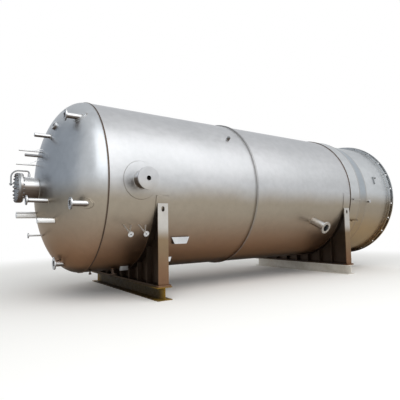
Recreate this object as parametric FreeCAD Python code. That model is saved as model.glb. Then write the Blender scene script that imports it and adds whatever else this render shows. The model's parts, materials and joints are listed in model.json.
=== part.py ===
"""Horizontal stainless pressure vessel with a nozzle head, a lapped skirt and two saddles on bearers.

The vessel is drawn in its own frame: X runs along its axis from the tangent line of the front head,
Z is up from the axis, and -Y is the near side. Every piece is then moved once, so that the origin
lies on the ground under the front saddle. Millimetres throughout.
"""
import FreeCAD, Part

import math
import os

Vector = FreeCAD.Vector

# Shell and heads
shell_radius = 1950.0          # outside
shell_wall = 16.0
head_depth = 890.0             # outside, from the tangent line to the crown
head_wall = 18.0
crown_radius = 1260.0          # seam between a head's crown plate and its knuckle ring
front_course_end = 3850.0      # weld between the front and the middle course
middle_course_end = 4720.0
shell_end = 8000.0             # tangent line of the bottom head
seam_ring_width = 26.0
seam_ring_height = 11.0
girth_ring_width = 52.0
girth_ring_height = 34.0

# Lapped skirt with its anchor chairs
collar_lap = 245.0             # over the shell, before the bottom head's tangent line
collar_run = 222.0             # past that line
collar_wall = 22.0
cone_length = 458.0
skirt_step = 45.0              # the skirt's outside lies this far inside the shell's
skirt_wall = 18.0
skirt_length = 1420.0          # from the cone to the base ring
base_ring_thickness = 40.0
base_ring_reach = 105.0        # outwards from the skirt
base_ring_inner_reach = 115.0  # inwards from the skirt's outside
chair_height = 120.0           # clear space between the base ring and the ring above it
chair_ring_thickness = 28.0
chair_ring_reach = 85.0
chair_count = 24
chair_gusset_thickness = 16.0
chair_gusset_spacing = 130.0   # between the two gussets of one chair
chair_gusset_reach = 78.0
anchor_circle_reach = 50.0
anchor_hole_radius = 26.0

# Manway on the front head
manway_drop = 60.0             # its axis lies this far under the vessel's
manway_pipe_radius = 228.5
manway_pipe_wall = 12.0
manway_projection = 372.0      # gasket face of the flange, in front of the head's crown
manway_flange_reach = 91.5     # flange radius over the pipe's
manway_flange_thickness = 42.0
manway_bolt_edge = 27.5        # from the bolt circle to the flange's edge
manway_bolt_count = 20
manway_stud_radius = 13.5
manway_hole_radius = 15.0
manway_nut_radius = 23.0       # over the corners
manway_nut_height = 22.0
manway_stud_tail = 8.0
gasket_thickness = 3.0
gasket_edge = 20.5             # from the gasket's edge to the bolt circle
cover_thickness = 46.0
cover_boss_radius = 27.0
cover_boss_length = 46.0

# Davit that carries the cover
davit_rod_radius = 15.0
davit_post_setback = 199.0     # of the post behind the flange's face
davit_lift = 52.0              # of the arm's axis, over the flange's edge
davit_post_bend = 45.0
davit_arm_bend = 150.0
davit_reach = 106.0            # of the hanging end in front of the cover
davit_socket_radius = 26.0
davit_socket_height = 83.2
davit_socket_floor = 12.0
davit_foot_length = 164.0
davit_foot_width = 80.0
davit_foot_thickness = 12.0
davit_eye_radius = 32.0
davit_eye_thickness = 14.0
davit_eye_rise = 90.0          # top of the eye plate, over the manway's axis
davit_clearance = 0.5
davit_nut_radius = 27.0
davit_nut_height = 22.0
davit_thread_tail = 10.0

# Lifting trunnions, one on each side
trunnion_position = 684.0
trunnion_pad_reach = 207.0     # pad radius over the tube's
trunnion_pad_thickness = 20.0
trunnion_tube_radius = 178.0
trunnion_tube_wall = 14.0
trunnion_projection = 330.0    # outer face of the end plate, from the shell
trunnion_plate_reach = 50.0    # end plate radius over the tube's
trunnion_plate_thickness = 30.0
trunnion_hole_radius = 48.0

# Saddles and the bearers under them
front_saddle = 1178.0
rear_saddle_setback = 450.0    # before the bottom head's tangent line
saddle_width = 240.0
saddle_horn = 13.53            # degrees under the horizontal where the end ribs meet the seat
saddle_web_thickness = 20.0
saddle_rib_thickness = 18.0
saddle_rib_share = 0.2448       # pitch of the ribs, as a share of the inner span
saddle_ribs_each_side = 3
shell_clear_height = 230.0     # from the shell's lowest line to the underside of the base plates
base_plate_width = 300.0
base_plate_overhang = 48.0     # past the end ribs
base_plate_thickness = 40.0
wear_plate_width = 300.0
wear_plate_thickness = 16.0
front_wear_plate_horn = -9.0   # degrees under the horizontal where the wear plate ends
rear_wear_plate_horn = -0.5
rib_slot_width = 74.0
rib_slot_length = 112.0
rib_slot_drop = 62.0           # from the rib's top to the slot's middle
bearer_height = 270.0
bearer_flange_width = 340.0
bearer_flange_thickness = 16.0
bearer_web_thickness = 14.0
bearer_overhang = 5.0          # past the base plate

# Clearances between welded pieces
weld_gap = 0.3
neck_gap = 0.5

# Pipe sizes by name: outside radius, wall, flange radius, flange thickness,
# bolt circle radius, bolt count, bolt hole radius
pipe_sizes = {
    "DN25": (16.9, 3.4, 57.5, 18.0, 42.5, 4, 7.0),
    "DN65": (38.1, 5.0, 92.5, 22.0, 72.5, 8, 9.0),
    "DN80": (44.5, 5.5, 100.0, 24.0, 80.0, 8, 9.0),
    "DN100": (57.2, 6.0, 117.5, 24.0, 95.0, 8, 11.0),
    "DN125": (69.9, 6.5, 135.0, 26.0, 110.0, 8, 13.0),
    "DN200": (109.6, 8.0, 170.0, 26.0, 147.5, 12, 11.0),
}
raised_face = 2.0
hub_length = 26.0
hub_swell = 1.16               # hub radius at the flange over the pipe radius

# Flanged nozzles of the head, parallel to the vessel's axis: pipe, distance from the axis,
# degrees above the near side, projection from the head's surface to the face
head_nozzles = {
    "head_nozzle_top": ("DN100", shell_radius - 154.0, 47.3, 296.0),
    "head_nozzle_near": ("DN100", shell_radius - 170.0, -15.7, 304.0),
    "head_nozzle_middle": ("DN80", 760.0, -29.0, 420.0),
    "head_nozzle_bottom": ("DN125", shell_radius - 235.0, -80.5, 179.0),
    "head_nozzle_small": ("DN25", 1092.0, -95.5, 315.0),
}
pad_thickness = 14.0
pad_reach = 40.0               # pad radius over the pipe's
head_pads = {
    "head_pad_top": "head_nozzle_top",
    "head_pad_near": "head_nozzle_near",
}
# Closed stubs of the head: outside radius, wall, distance from the axis, degrees, projection
head_stubs = {
    "head_stub_lower": (57.2, 6.0, 1127.0, -43.8, 323.0),
    "head_stub_upper": (42.4, 6.0, 1122.0, 66.9, 322.0),
    "head_stub_large": (73.0, 8.0, 742.0, -122.6, 422.0),
    "head_stub_short": (30.2, 5.0, 658.0, 84.1, 327.0),
}
stub_cap_thickness = 12.0
# Thin instrument stubs, each with a flat brace that rises to the head: distance from the axis,
# degrees, projection, slope of the brace
instrument_stubs = (
    (749.0, 82.3, 468.0, 0.23),
    (455.0, 90.0, 459.0, 0.55),
)
instrument_radius = 13.5
instrument_wall = 4.0
brace_thickness = 10.0
head_brace_width = 18.0
head_brace_start = 240.0       # along the stub from its end
# Flat-faced outlet that stands square on the head: distance from the axis, degrees
studding_place = (1356.0, 68.6)
studding_radius = 90.0
studding_height = 45.0
studding_bore = 40.0
studding_depth = 30.0

# Radial nozzles on the near side: pipe, position, degrees, projection, brace run
side_nozzles = {
    "side_nozzle_front": ("DN25", 390.0, -27.6, 400.0, 178.0),
    "side_nozzle_back": ("DN25", 717.0, -27.5, 400.0, 178.0),
    "side_nozzle_rear": ("DN200", 6160.0, -25.5, 490.0, 270.0),
}
side_brace_drop = 60.0         # from the flange's back to the brace
side_brace_width = 42.0

# Small fittings
coupling_radius = 42.0
coupling_bore = 18.0
coupling_projection = 70.0
shell_coupling = (3310.0, 39.5)
skirt_coupling = (110.0, -6.5)  # past the cone, degrees
skirt_coupling_radius = 46.0
head_drain = (95.0, -73.2)
head_drain_radius = 17.0
head_drain_bore = 11.0
head_drain_end_radius = 30.0
head_drain_end_length = 28.0
head_drain_projection = 92.0
bottom_drain = ("DN65", 615.0, -73.2, 150.0)
underside_cleat_limits = (735.0, 930.0)
underside_cleat_offset = 700.0 # to the near side of the axis
underside_cleat_depth = 95.0
underside_cleat_thickness = 14.0
nameplate_position = 1815.0
nameplate_level = -1180.0      # of its top edge
nameplate_top_width = 460.0
nameplate_bottom_width = 310.0
nameplate_height = 150.0
nameplate_standoff = 20.0      # from the shell to the back of its top edge
nameplate_thickness = 8.0
cleat_setback = 570.0          # past the cone
cleat_angle = 14.8
cleat_height = 250.0
cleat_width = 46.0
cleat_foot = 190.0
cleat_depth = 22.0
collar_clips = ((65.0, 430.0, -5.5), (195.0, 350.0, -25.0))  # from the collar's start, length, degrees
clip_thickness = 40.0
clip_reach = 60.0
earth_lug_height = 95.0
earth_lug_reach = 74.0
earth_lug_thickness = 12.0
earth_lug_level = 470.0        # over the base plate
outlet_radius = 84.0
outlet_wall = 7.0
outlet_projection = 210.0
outlet_flange_radius = 142.5
outlet_flange_thickness = 24.0

# What follows from the sizes above
cavity_radius = shell_radius - shell_wall
shell_seat = shell_radius + weld_gap
collar_start = shell_end - collar_lap
collar_end = shell_end + collar_run
cone_end = collar_end + cone_length
skirt_radius = shell_radius - skirt_step
skirt_end = cone_end + skirt_length
manway_face = -head_depth - manway_projection
manway_flange_radius = manway_pipe_radius + manway_flange_reach
manway_bolt_circle = manway_flange_radius - manway_bolt_edge
davit_post = manway_face + davit_post_setback
davit_height = manway_flange_radius - manway_drop + davit_lift
davit_eye_level = davit_eye_rise - manway_drop
rear_saddle = shell_end - rear_saddle_setback
wear_plate_inner = shell_seat
wear_plate_outer = wear_plate_inner + wear_plate_thickness
saddle_seat = wear_plate_outer + weld_gap
saddle_inner_span = saddle_seat * math.cos(math.radians(saddle_horn))
saddle_half_span = saddle_inner_span + saddle_web_thickness
saddle_top = -saddle_seat * math.sin(math.radians(saddle_horn))
base_plate_half_length = saddle_half_span + base_plate_overhang
bearer_half_length = base_plate_half_length + bearer_overhang
base_plate_bottom = -shell_radius - shell_clear_height
base_plate_top = base_plate_bottom + base_plate_thickness
axis_height = bearer_height - base_plate_bottom
cover_face = manway_face - gasket_thickness - cover_thickness
long = 60.0                    # how far a cutting tool runs past what it cuts


def rod(start, direction, length, radius):
    """Solid cylinder from a point along a direction."""
    return Part.makeCylinder(radius, length, start, direction)


def ring(x_start, x_end, outer, inner):
    """Ring about the vessel's axis."""
    along = Vector(1, 0, 0)
    body = rod(Vector(x_start, 0, 0), along, x_end - x_start, outer)
    return body.cut(rod(Vector(x_start - long, 0, 0), along, x_end - x_start + 2 * long, inner))


def block(x_limits, y_limits, z_limits):
    """Box between two limits on each axis."""
    low, high = [Vector(*corner) for corner in zip(x_limits, y_limits, z_limits)]
    size = high - low
    return Part.makeBox(size.x, size.y, size.z, low)


def revolved(points, axis=Vector(1, 0, 0)):
    """Solid of revolution of a closed outline."""
    outline = Part.makePolygon(points + [points[0]])
    return Part.Face(outline).revolve(Vector(0, 0, 0), axis, 360)


def dome(depth, radius, x_base=0.0, side=-1):
    """Half an ellipsoid about the vessel's axis with its base at x_base."""
    base = Vector(x_base, 0, 0)
    rim = Vector(x_base, 0, radius)
    crown = Vector(x_base + side * depth, 0, 0)
    arc = Part.ArcOfEllipse(Part.Ellipse(rim, crown, base), 0, math.pi / 2).toShape()
    outline = Part.Wire([arc, Part.makeLine(crown, base), Part.makeLine(base, rim)])
    return Part.Face(outline).revolve(base, Vector(1, 0, 0), 360)


def head_plate(x_base, side, inner_radius, outer_radius):
    """Ring of a dished head's wall between two distances from the axis."""
    base = Vector(x_base, 0, 0)
    arcs = []
    for step in (0.0, head_wall):
        rim = Vector(x_base, 0, shell_radius - step)
        crown = Vector(x_base + side * (head_depth - step), 0, 0)
        start = math.acos(min(1.0, outer_radius / rim.z))
        end = math.acos(inner_radius / rim.z)
        arcs.append(Part.ArcOfEllipse(Part.Ellipse(rim, crown, base), start, end).toShape())
    outer, inner = arcs
    ends = [Part.makeLine(outer.Vertexes[k].Point, inner.Vertexes[k].Point) for k in (0, 1)]
    outline = Part.Wire([outer, ends[1], inner, ends[0]])
    return Part.Face(outline).revolve(base, Vector(1, 0, 0), 360)


def head_plates(x_base, side, openings):
    """Crown plate and knuckle ring of a dished head."""
    crown = head_plate(x_base, side, 0.0, crown_radius)
    knuckle = head_plate(x_base, side, crown_radius + weld_gap, shell_radius)
    return [crown.cut(openings), knuckle.cut(openings)]


def radial(degrees):
    """Unit vector from the axis towards the near side, turned up by some degrees."""
    angle = math.radians(degrees)
    return Vector(0, -math.cos(angle), math.sin(angle))


def placed(shape, origin, direction):
    """Shape drawn along +Z, set at a point with that axis along a direction."""
    moved = shape.copy()
    moved.Placement = FreeCAD.Placement(origin, FreeCAD.Rotation(Vector(0, 0, 1), direction))
    return moved


def bolt_holes(circle_radius, count, hole_radius, depth):
    """Cutting rods for bolt holes round +Z, from the face downwards."""
    rods = []
    for number in range(count):
        angle = 2 * math.pi * (number + 0.5) / count
        centre = Vector(circle_radius * math.cos(angle), circle_radius * math.sin(angle), -depth)
        rods.append(rod(centre, Vector(0, 0, 1), 2 * depth, hole_radius))
    return Part.makeCompound(rods)


def flanged_pipe(size, length):
    """Weld neck flange and its pipe, with the flange's face at the origin and the pipe below it."""
    pipe, wall, flange, thickness, circle, count, hole = size
    bore = pipe - wall
    raised = circle - hole - raised_face
    outline = [
        Vector(bore, 0, 0),
        Vector(raised, 0, 0),
        Vector(raised, 0, -raised_face),
        Vector(flange, 0, -raised_face),
        Vector(flange, 0, -thickness),
        Vector(pipe * hub_swell, 0, -thickness),
        Vector(pipe, 0, -thickness - hub_length),
        Vector(pipe, 0, -length),
        Vector(bore, 0, -length),
    ]
    body = revolved(outline, Vector(0, 0, 1))
    return body.cut(bolt_holes(circle, count, hole, 2 * thickness))


def head_point(distance, degrees, projection):
    """Point in front of the head, at a distance from the vessel's axis."""
    surface = -head_depth * math.sqrt(1 - (distance / shell_radius) ** 2)
    return Vector(surface - projection, 0, 0) + radial(degrees) * distance


def head_cavity():
    """Space inside the front head and the first stretch of shell."""
    space = dome(head_depth - head_wall, shell_radius - head_wall)
    return space.fuse(rod(Vector(0, 0, 0), Vector(1, 0, 0), front_course_end, cavity_radius))


def head_openings():
    """Rods that cut the front head where its nozzles, stubs and the manway pass through."""
    places = []
    for pipe, distance, degrees, _ in head_nozzles.values():
        places.append((distance, degrees, pipe_sizes[pipe][0]))
    for radius, _, distance, degrees, _ in head_stubs.values():
        places.append((distance, degrees, radius))
    for distance, degrees, _, _ in instrument_stubs:
        places.append((distance, degrees, instrument_radius))
    rods = [rod(manway_centre(manway_face), Vector(1, 0, 0), -manway_face, manway_pipe_radius + neck_gap)]
    for distance, degrees, radius in places:
        start = head_point(distance, degrees, long)
        rods.append(rod(start, Vector(1, 0, 0), head_depth + long, radius + neck_gap))
    return Part.makeCompound(rods)


def wall_opening(position, degrees, radius):
    """Rod that cuts the shell where a radial pipe passes through."""
    start = Vector(position, 0, 0) + radial(degrees) * (cavity_radius - long)
    return rod(start, radial(degrees), 2 * long + shell_wall, radius + neck_gap)


def side_opening(name):
    """Rod that cuts the shell for a nozzle of the near side."""
    size, position, degrees, _, _ = side_nozzles[name]
    return wall_opening(position, degrees, pipe_sizes[size][0])


def shell_parts():
    """Both heads, the rolled courses and the rings on their welds."""
    front = ring(0, front_course_end, shell_radius, cavity_radius)
    front = front.cut(side_opening("side_nozzle_front")).cut(side_opening("side_nozzle_back"))
    front = front.cut(wall_opening(head_drain[0], head_drain[1], head_drain_radius))
    front = front.cut(wall_opening(bottom_drain[1], bottom_drain[2], pipe_sizes[bottom_drain[0]][0]))
    rear = ring(middle_course_end, shell_end, shell_radius, cavity_radius)
    outlet_cut = rod(Vector(shell_end, 0, 0), Vector(1, 0, 0), head_depth + long, outlet_radius + neck_gap)
    girth_centre = front_course_end
    crown, knuckle = head_plates(0, -1, head_openings())
    return {
        "front_head": crown,
        "front_head_knuckle": knuckle,
        "head_seam_ring": ring(-seam_ring_width / 2, seam_ring_width / 2,
                               shell_radius + seam_ring_height, shell_seat),
        "shell_course_front": front,
        "shell_course_middle": ring(front_course_end, middle_course_end, shell_radius, cavity_radius),
        "shell_course_rear": rear.cut(side_opening("side_nozzle_rear")),
        "girth_ring": ring(girth_centre - girth_ring_width / 2, girth_centre + girth_ring_width / 2,
                           shell_radius + girth_ring_height, shell_seat),
        "bottom_head": Part.makeCompound(head_plates(shell_end, 1, outlet_cut)),
    }


def bottom_outlet():
    """Outlet at the middle of the bottom head, inside the skirt."""
    face = shell_end + head_depth + outlet_projection
    start = Vector(shell_end, 0, 0)
    pipe = rod(start, Vector(1, 0, 0), face - shell_end, outlet_radius)
    flange_start = Vector(face - outlet_flange_thickness, 0, 0)
    flange = rod(flange_start, Vector(1, 0, 0), outlet_flange_thickness, outlet_flange_radius)
    bore = rod(start, Vector(1, 0, 0), face - shell_end + long, outlet_radius - outlet_wall)
    space = dome(head_depth - head_wall, shell_radius - head_wall, shell_end, 1)
    return pipe.fuse(flange).cut(bore).cut(space)


def collar():
    """Band lapped over the shell's end, with its two flat clips on the near side."""
    outer = shell_seat + collar_wall
    band = ring(collar_start, collar_end, outer, shell_seat)
    beyond = rod(Vector(collar_end, 0, 0), Vector(1, 0, 0), cone_end - collar_end, outer + weld_gap)
    for offset, length, degrees in collar_clips:
        start = collar_start + offset
        plate = block((start, start + length), (-outer - clip_reach, -outer + collar_wall / 2),
                      (-clip_thickness / 2, clip_thickness / 2))
        plate.rotate(Vector(0, 0, 0), Vector(1, 0, 0), -degrees)
        band = band.fuse(plate.cut(beyond))
    return band.removeSplitter()


def skirt_cone():
    """Tapered course from the collar down to the skirt."""
    outer = shell_seat + collar_wall
    return revolved([
        Vector(collar_end, 0, outer),
        Vector(cone_end, 0, skirt_radius),
        Vector(cone_end, 0, skirt_radius - skirt_wall),
        Vector(collar_end, 0, outer - skirt_wall),
    ])


def about_axis(shape, number, count, offset=0.0):
    """Copy of a shape turned about the vessel's axis to one of a number of even places."""
    turned = shape.copy()
    turned.rotate(Vector(0, 0, 0), Vector(1, 0, 0), 360.0 * (number + offset) / count)
    return turned


def anchor_holes(x_start, length):
    """Cutting rods on the anchor bolt circle."""
    start = Vector(x_start, 0, skirt_radius + anchor_circle_reach)
    hole = rod(start, Vector(1, 0, 0), length, anchor_hole_radius)
    return Part.makeCompound([about_axis(hole, number, chair_count, 0.5) for number in range(chair_count)])


def chair_gussets():
    """Pairs of upright plates between the base ring and the ring above it."""
    limits_x = (skirt_end - chair_height, skirt_end)
    foot = skirt_radius - chair_gusset_thickness
    seat = rod(Vector(cone_end, 0, 0), Vector(1, 0, 0), skirt_end - cone_end + long, skirt_radius + weld_gap)
    plates = []
    for number in range(chair_count):
        for side in (-1, 1):
            centre = side * chair_gusset_spacing / 2
            limits_y = (centre - chair_gusset_thickness / 2, centre + chair_gusset_thickness / 2)
            plate = block(limits_x, limits_y, (foot, skirt_radius + chair_gusset_reach)).cut(seat)
            plates.append(about_axis(plate, number, chair_count, 0.5))
    return Part.makeCompound(plates)


def skirt_parts():
    """Collar, cone, skirt, base ring and the chairs for the anchor bolts."""
    chair_ring_end = skirt_end - chair_height
    chair_ring_start = chair_ring_end - chair_ring_thickness
    base_end = skirt_end + base_ring_thickness
    base = ring(skirt_end, base_end, skirt_radius + base_ring_reach, skirt_radius - base_ring_inner_reach)
    top = ring(chair_ring_start, chair_ring_end, skirt_radius + chair_ring_reach, skirt_radius + weld_gap)
    skirt = ring(cone_end, skirt_end, skirt_radius, skirt_radius - skirt_wall)
    outward = radial(skirt_coupling[1])
    vent_start = Vector(cone_end + skirt_coupling[0], 0, 0) + outward * (skirt_radius - long)
    vent = rod(vent_start, outward, 2 * long, skirt_coupling_radius + neck_gap)
    return {
        "skirt_collar": collar(),
        "skirt_cone": skirt_cone(),
        "skirt_shell": skirt.cut(vent),
        "chair_top_ring": top.cut(anchor_holes(chair_ring_start - long, chair_ring_thickness + 2 * long)),
        "base_ring": base.cut(anchor_holes(skirt_end - long, base_ring_thickness + 2 * long)),
        "chair_gussets": chair_gussets(),
    }


def manway_centre(x):
    """Point on the manway's axis."""
    return Vector(x, 0, -manway_drop)


def manway_neck():
    """Pipe and flange of the manway, open through the head."""
    along = Vector(1, 0, 0)
    pipe = rod(manway_centre(manway_face), along, -manway_face, manway_pipe_radius)
    flange = rod(manway_centre(manway_face), along, manway_flange_thickness, manway_flange_radius)
    inside = manway_pipe_radius - manway_pipe_wall
    bore = rod(manway_centre(manway_face - long), along, long - manway_face, inside)
    neck = pipe.fuse(flange).cut(bore).cut(head_cavity())
    return neck.cut(manway_holes(manway_face, manway_flange_thickness))


def manway_holes(x, thickness):
    """Cutting rods for the manway's stud holes."""
    tool = bolt_holes(manway_bolt_circle, manway_bolt_count, manway_hole_radius, thickness + long)
    return placed(tool, manway_centre(x), Vector(1, 0, 0))


def hexagon(radius, height, base):
    """Hexagonal nut body along +X from a base point."""
    corners = []
    for number in range(6):
        angle = math.pi * number / 3
        corners.append(base + Vector(0, radius * math.cos(angle), radius * math.sin(angle)))
    return Part.Face(Part.makePolygon(corners + [corners[0]])).extrude(Vector(height, 0, 0))


def manway_studs():
    """Studs with a nut made up on each end, through the cover and the flange."""
    cover_side = cover_face - manway_nut_height
    flange_side = manway_face + manway_flange_thickness
    start = cover_side - manway_stud_tail
    length = flange_side + manway_nut_height + manway_stud_tail - start
    studs = []
    for number in range(manway_bolt_count):
        angle = 2 * math.pi * (number + 0.5) / manway_bolt_count
        offset = Vector(0, math.cos(angle), math.sin(angle)) * manway_bolt_circle - Vector(0, 0, manway_drop)
        stud = rod(Vector(start, 0, 0) + offset, Vector(1, 0, 0), length, manway_stud_radius)
        front_nut = hexagon(manway_nut_radius, manway_nut_height, Vector(cover_side, 0, 0) + offset)
        back_nut = hexagon(manway_nut_radius, manway_nut_height, Vector(flange_side, 0, 0) + offset)
        studs.append(stud.fuse([front_nut, back_nut]))
    return Part.makeCompound(studs)


def manway_cover():
    """Blind cover with a boss at its middle and the eye plate that the davit carries."""
    along = Vector(1, 0, 0)
    cover = rod(manway_centre(cover_face), along, cover_thickness, manway_flange_radius)
    cover = cover.cut(manway_holes(cover_face, cover_thickness))
    boss = rod(manway_centre(cover_face - cover_boss_length), along, cover_boss_length, cover_boss_radius)
    bottom = davit_eye_level - davit_eye_thickness
    eye = Vector(cover_face - davit_reach, 0, bottom)
    up = Vector(0, 0, 1)
    strap = block((eye.x, cover_face), (-davit_eye_radius, davit_eye_radius), (bottom, davit_eye_level))
    plate = strap.fuse(rod(eye, up, davit_eye_thickness, davit_eye_radius))
    hole = rod(eye - up * long, up, 2 * long, davit_rod_radius + davit_clearance)
    return cover.fuse([boss, plate.cut(hole)]).removeSplitter()


def manway_parts():
    """Manway neck, gasket, cover and the studs."""
    along = Vector(1, 0, 0)
    bore = manway_pipe_radius - manway_pipe_wall
    gasket_start = manway_face - gasket_thickness
    gasket = rod(manway_centre(gasket_start), along, gasket_thickness, manway_bolt_circle - gasket_edge)
    return {
        "manway_neck": manway_neck(),
        "manway_gasket": gasket.cut(rod(manway_centre(gasket_start - long), along, 2 * long, bore)),
        "manway_cover": manway_cover(),
        "manway_studs": manway_studs(),
    }


def davit_arm():
    """Bent rod from the socket over the flange and down through the eye of the cover."""
    hanging = cover_face - davit_reach
    foot = davit_socket_bottom() + davit_foot_thickness + davit_socket_floor
    tail = davit_eye_level - davit_eye_thickness - davit_nut_height - davit_thread_tail
    post_corner = Vector(davit_post - davit_post_bend, 0, davit_height - davit_post_bend)
    arm_corner = Vector(hanging + davit_arm_bend, 0, davit_height - davit_arm_bend)
    slant = math.sqrt(0.5)
    edges = [
        Part.makeLine(Vector(davit_post, 0, foot), Vector(davit_post, 0, post_corner.z)),
        Part.Arc(Vector(davit_post, 0, post_corner.z),
                 post_corner + Vector(slant, 0, slant) * davit_post_bend,
                 Vector(post_corner.x, 0, davit_height)).toShape(),
        Part.makeLine(Vector(post_corner.x, 0, davit_height), Vector(arm_corner.x, 0, davit_height)),
        Part.Arc(Vector(arm_corner.x, 0, davit_height),
                 arm_corner + Vector(-slant, 0, slant) * davit_arm_bend,
                 Vector(hanging, 0, arm_corner.z)).toShape(),
        Part.makeLine(Vector(hanging, 0, arm_corner.z), Vector(hanging, 0, tail)),
    ]
    section = Part.Wire(Part.makeCircle(davit_rod_radius, Vector(davit_post, 0, foot), Vector(0, 0, 1)))
    return Part.Wire(edges).makePipeShell([section], True, False)


def davit_socket_bottom():
    """Level of the neck's top, where the socket stands."""
    return manway_pipe_radius - manway_drop + weld_gap


def davit_socket():
    """Sleeve with a foot plate that straddles the top of the neck."""
    bottom = davit_socket_bottom()
    up = Vector(0, 0, 1)
    floor = bottom + davit_foot_thickness + davit_socket_floor
    sleeve = rod(Vector(davit_post, 0, bottom), up, davit_socket_height, davit_socket_radius)
    half_length = davit_foot_length / 2
    half_width = davit_foot_width / 2
    foot = block((davit_post - half_length, davit_post + half_length), (-half_width, half_width),
                 (bottom - half_width, bottom + davit_foot_thickness))
    neck = rod(manway_centre(manway_face), Vector(1, 0, 0), -manway_face, manway_pipe_radius + weld_gap)
    bore = rod(Vector(davit_post, 0, floor), up, davit_socket_height, davit_rod_radius + davit_clearance)
    return sleeve.fuse(foot).cut(neck).cut(bore).removeSplitter()


def davit_nut():
    """Nut on the arm's thread, under the eye of the cover."""
    hanging = cover_face - davit_reach
    bottom = davit_eye_level - davit_eye_thickness - davit_nut_height
    nut = hexagon(davit_nut_radius, davit_nut_height, Vector(0, 0, 0))
    nut = placed(nut, Vector(0, 0, 0), Vector(-1, 0, 0))
    nut.translate(Vector(hanging, 0, bottom))
    start = Vector(hanging, 0, bottom - long)
    return nut.cut(rod(start, Vector(0, 0, 1), 2 * long, davit_rod_radius + davit_clearance))


def davit_parts():
    """Socket on the neck, the arm in it, and the nut under the cover's eye."""
    return {
        "davit_socket": davit_socket(),
        "davit_arm": davit_arm(),
        "davit_nut": davit_nut(),
    }


def head_fitting(shape):
    """Piece that passes through the front head, trimmed to the head's inside."""
    return shape.cut(head_cavity())


def head_pad(nozzle):
    """Reinforcing pad that follows the head round a nozzle."""
    pipe, distance, degrees, _ = head_nozzles[nozzle]
    radius = pipe_sizes[pipe][0]
    start = head_point(distance, degrees, pad_reach + long)
    plug = rod(start, Vector(1, 0, 0), head_depth, radius + pad_reach)
    plug = plug.cut(rod(start, Vector(1, 0, 0), head_depth, radius + neck_gap))
    outer = dome(head_depth + pad_thickness, shell_radius + pad_thickness)
    pad = outer.cut(dome(head_depth + weld_gap, shell_seat)).common(plug)
    seam = Vector(-seam_ring_width / 2 - weld_gap, 0, 0)
    return pad.cut(rod(seam, Vector(1, 0, 0), long, 2 * shell_radius))


def closed_stub(pipe, wall, distance, degrees, projection):
    """Pipe stub with a flat cap, parallel to the vessel's axis."""
    start = head_point(distance, degrees, projection)
    body = rod(start, Vector(1, 0, 0), -start.x, pipe)
    inside = start + Vector(stub_cap_thickness, 0, 0)
    return head_fitting(body.cut(rod(inside, Vector(1, 0, 0), -start.x, pipe - wall)))


def instrument_stub(distance, degrees, projection, slope):
    """Thin stub with a flat brace that rises to the head."""
    start = head_point(distance, degrees, projection)
    body = rod(start, Vector(1, 0, 0), -start.x, instrument_radius)
    foot = start + Vector(head_brace_start, 0, 0)
    crest = foot + Vector(-foot.x, 0, -foot.x * slope)
    width = Vector(0, 0, head_brace_width)
    outline = Part.makePolygon([foot, crest, crest + width, foot + width, foot])
    brace = Part.Face(outline).extrude(Vector(0, brace_thickness, 0))
    brace.translate(Vector(0, -brace_thickness / 2, 0))
    brace = brace.cut(dome(head_depth + weld_gap, shell_seat))
    bore_start = start - Vector(long, 0, 0)
    bore = rod(bore_start, Vector(1, 0, 0), -bore_start.x, instrument_radius - instrument_wall)
    return head_fitting(body.fuse(brace).cut(bore))


def studding_outlet():
    """Thick flat-faced outlet that stands square on the head, bored blind."""
    distance, degrees = studding_place
    foot = head_point(distance, degrees, 0)
    outward = Vector(foot.x / head_depth ** 2, foot.y / shell_radius ** 2, foot.z / shell_radius ** 2)
    outward.normalize()
    face = foot + outward * studding_height
    body = rod(face, outward * -1, studding_height + long, studding_radius)
    body = body.cut(dome(head_depth + weld_gap, shell_seat))
    return body.cut(rod(face, outward * -1, studding_depth, studding_bore))


def head_parts():
    """Everything that stands on the front head beside the manway."""
    parts = {}
    for name, (pipe, distance, degrees, projection) in head_nozzles.items():
        face = head_point(distance, degrees, projection)
        parts[name] = head_fitting(placed(flanged_pipe(pipe_sizes[pipe], -face.x), face, Vector(-1, 0, 0)))
    for name, nozzle in head_pads.items():
        parts[name] = head_pad(nozzle)
    for name, sizes in head_stubs.items():
        parts[name] = closed_stub(*sizes)
    parts["instrument_stubs"] = Part.makeCompound([instrument_stub(*sizes) for sizes in instrument_stubs])
    parts["studding_outlet"] = studding_outlet()
    return parts


def radial_nozzle(size, position, degrees, projection):
    """Flanged nozzle square to the shell, trimmed to the shell's inside."""
    outward = radial(degrees)
    face = Vector(position, 0, 0) + outward * (shell_radius + projection)
    nozzle = placed(flanged_pipe(pipe_sizes[size], projection + 2 * shell_wall), face, outward)
    return nozzle.cut(rod(Vector(0, 0, 0), Vector(1, 0, 0), shell_end, cavity_radius))


def side_nozzle(size, position, degrees, projection, brace_run):
    """Radial flanged nozzle with a flat brace along the shell."""
    pipe = pipe_sizes[size][0]
    outward = radial(degrees)
    top = projection - pipe_sizes[size][3] - side_brace_drop
    edge = pipe * math.cos(math.pi / 6)
    outline = Part.makePolygon([
        Vector(edge, 0, top),
        Vector(edge, 0, top - side_brace_width),
        Vector(brace_run - side_brace_width, 0, weld_gap),
        Vector(brace_run, 0, weld_gap),
        Vector(edge, 0, top),
    ])
    brace = Part.Face(outline).extrude(Vector(0, brace_thickness, 0))
    brace.translate(Vector(0, -brace_thickness / 2, 0))
    brace.rotate(Vector(0, 0, 0), Vector(1, 0, 0), 90.0 - degrees)
    brace.translate(Vector(position, 0, 0) + outward * shell_radius)
    return radial_nozzle(size, position, degrees, projection).fuse(brace).removeSplitter()


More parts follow.
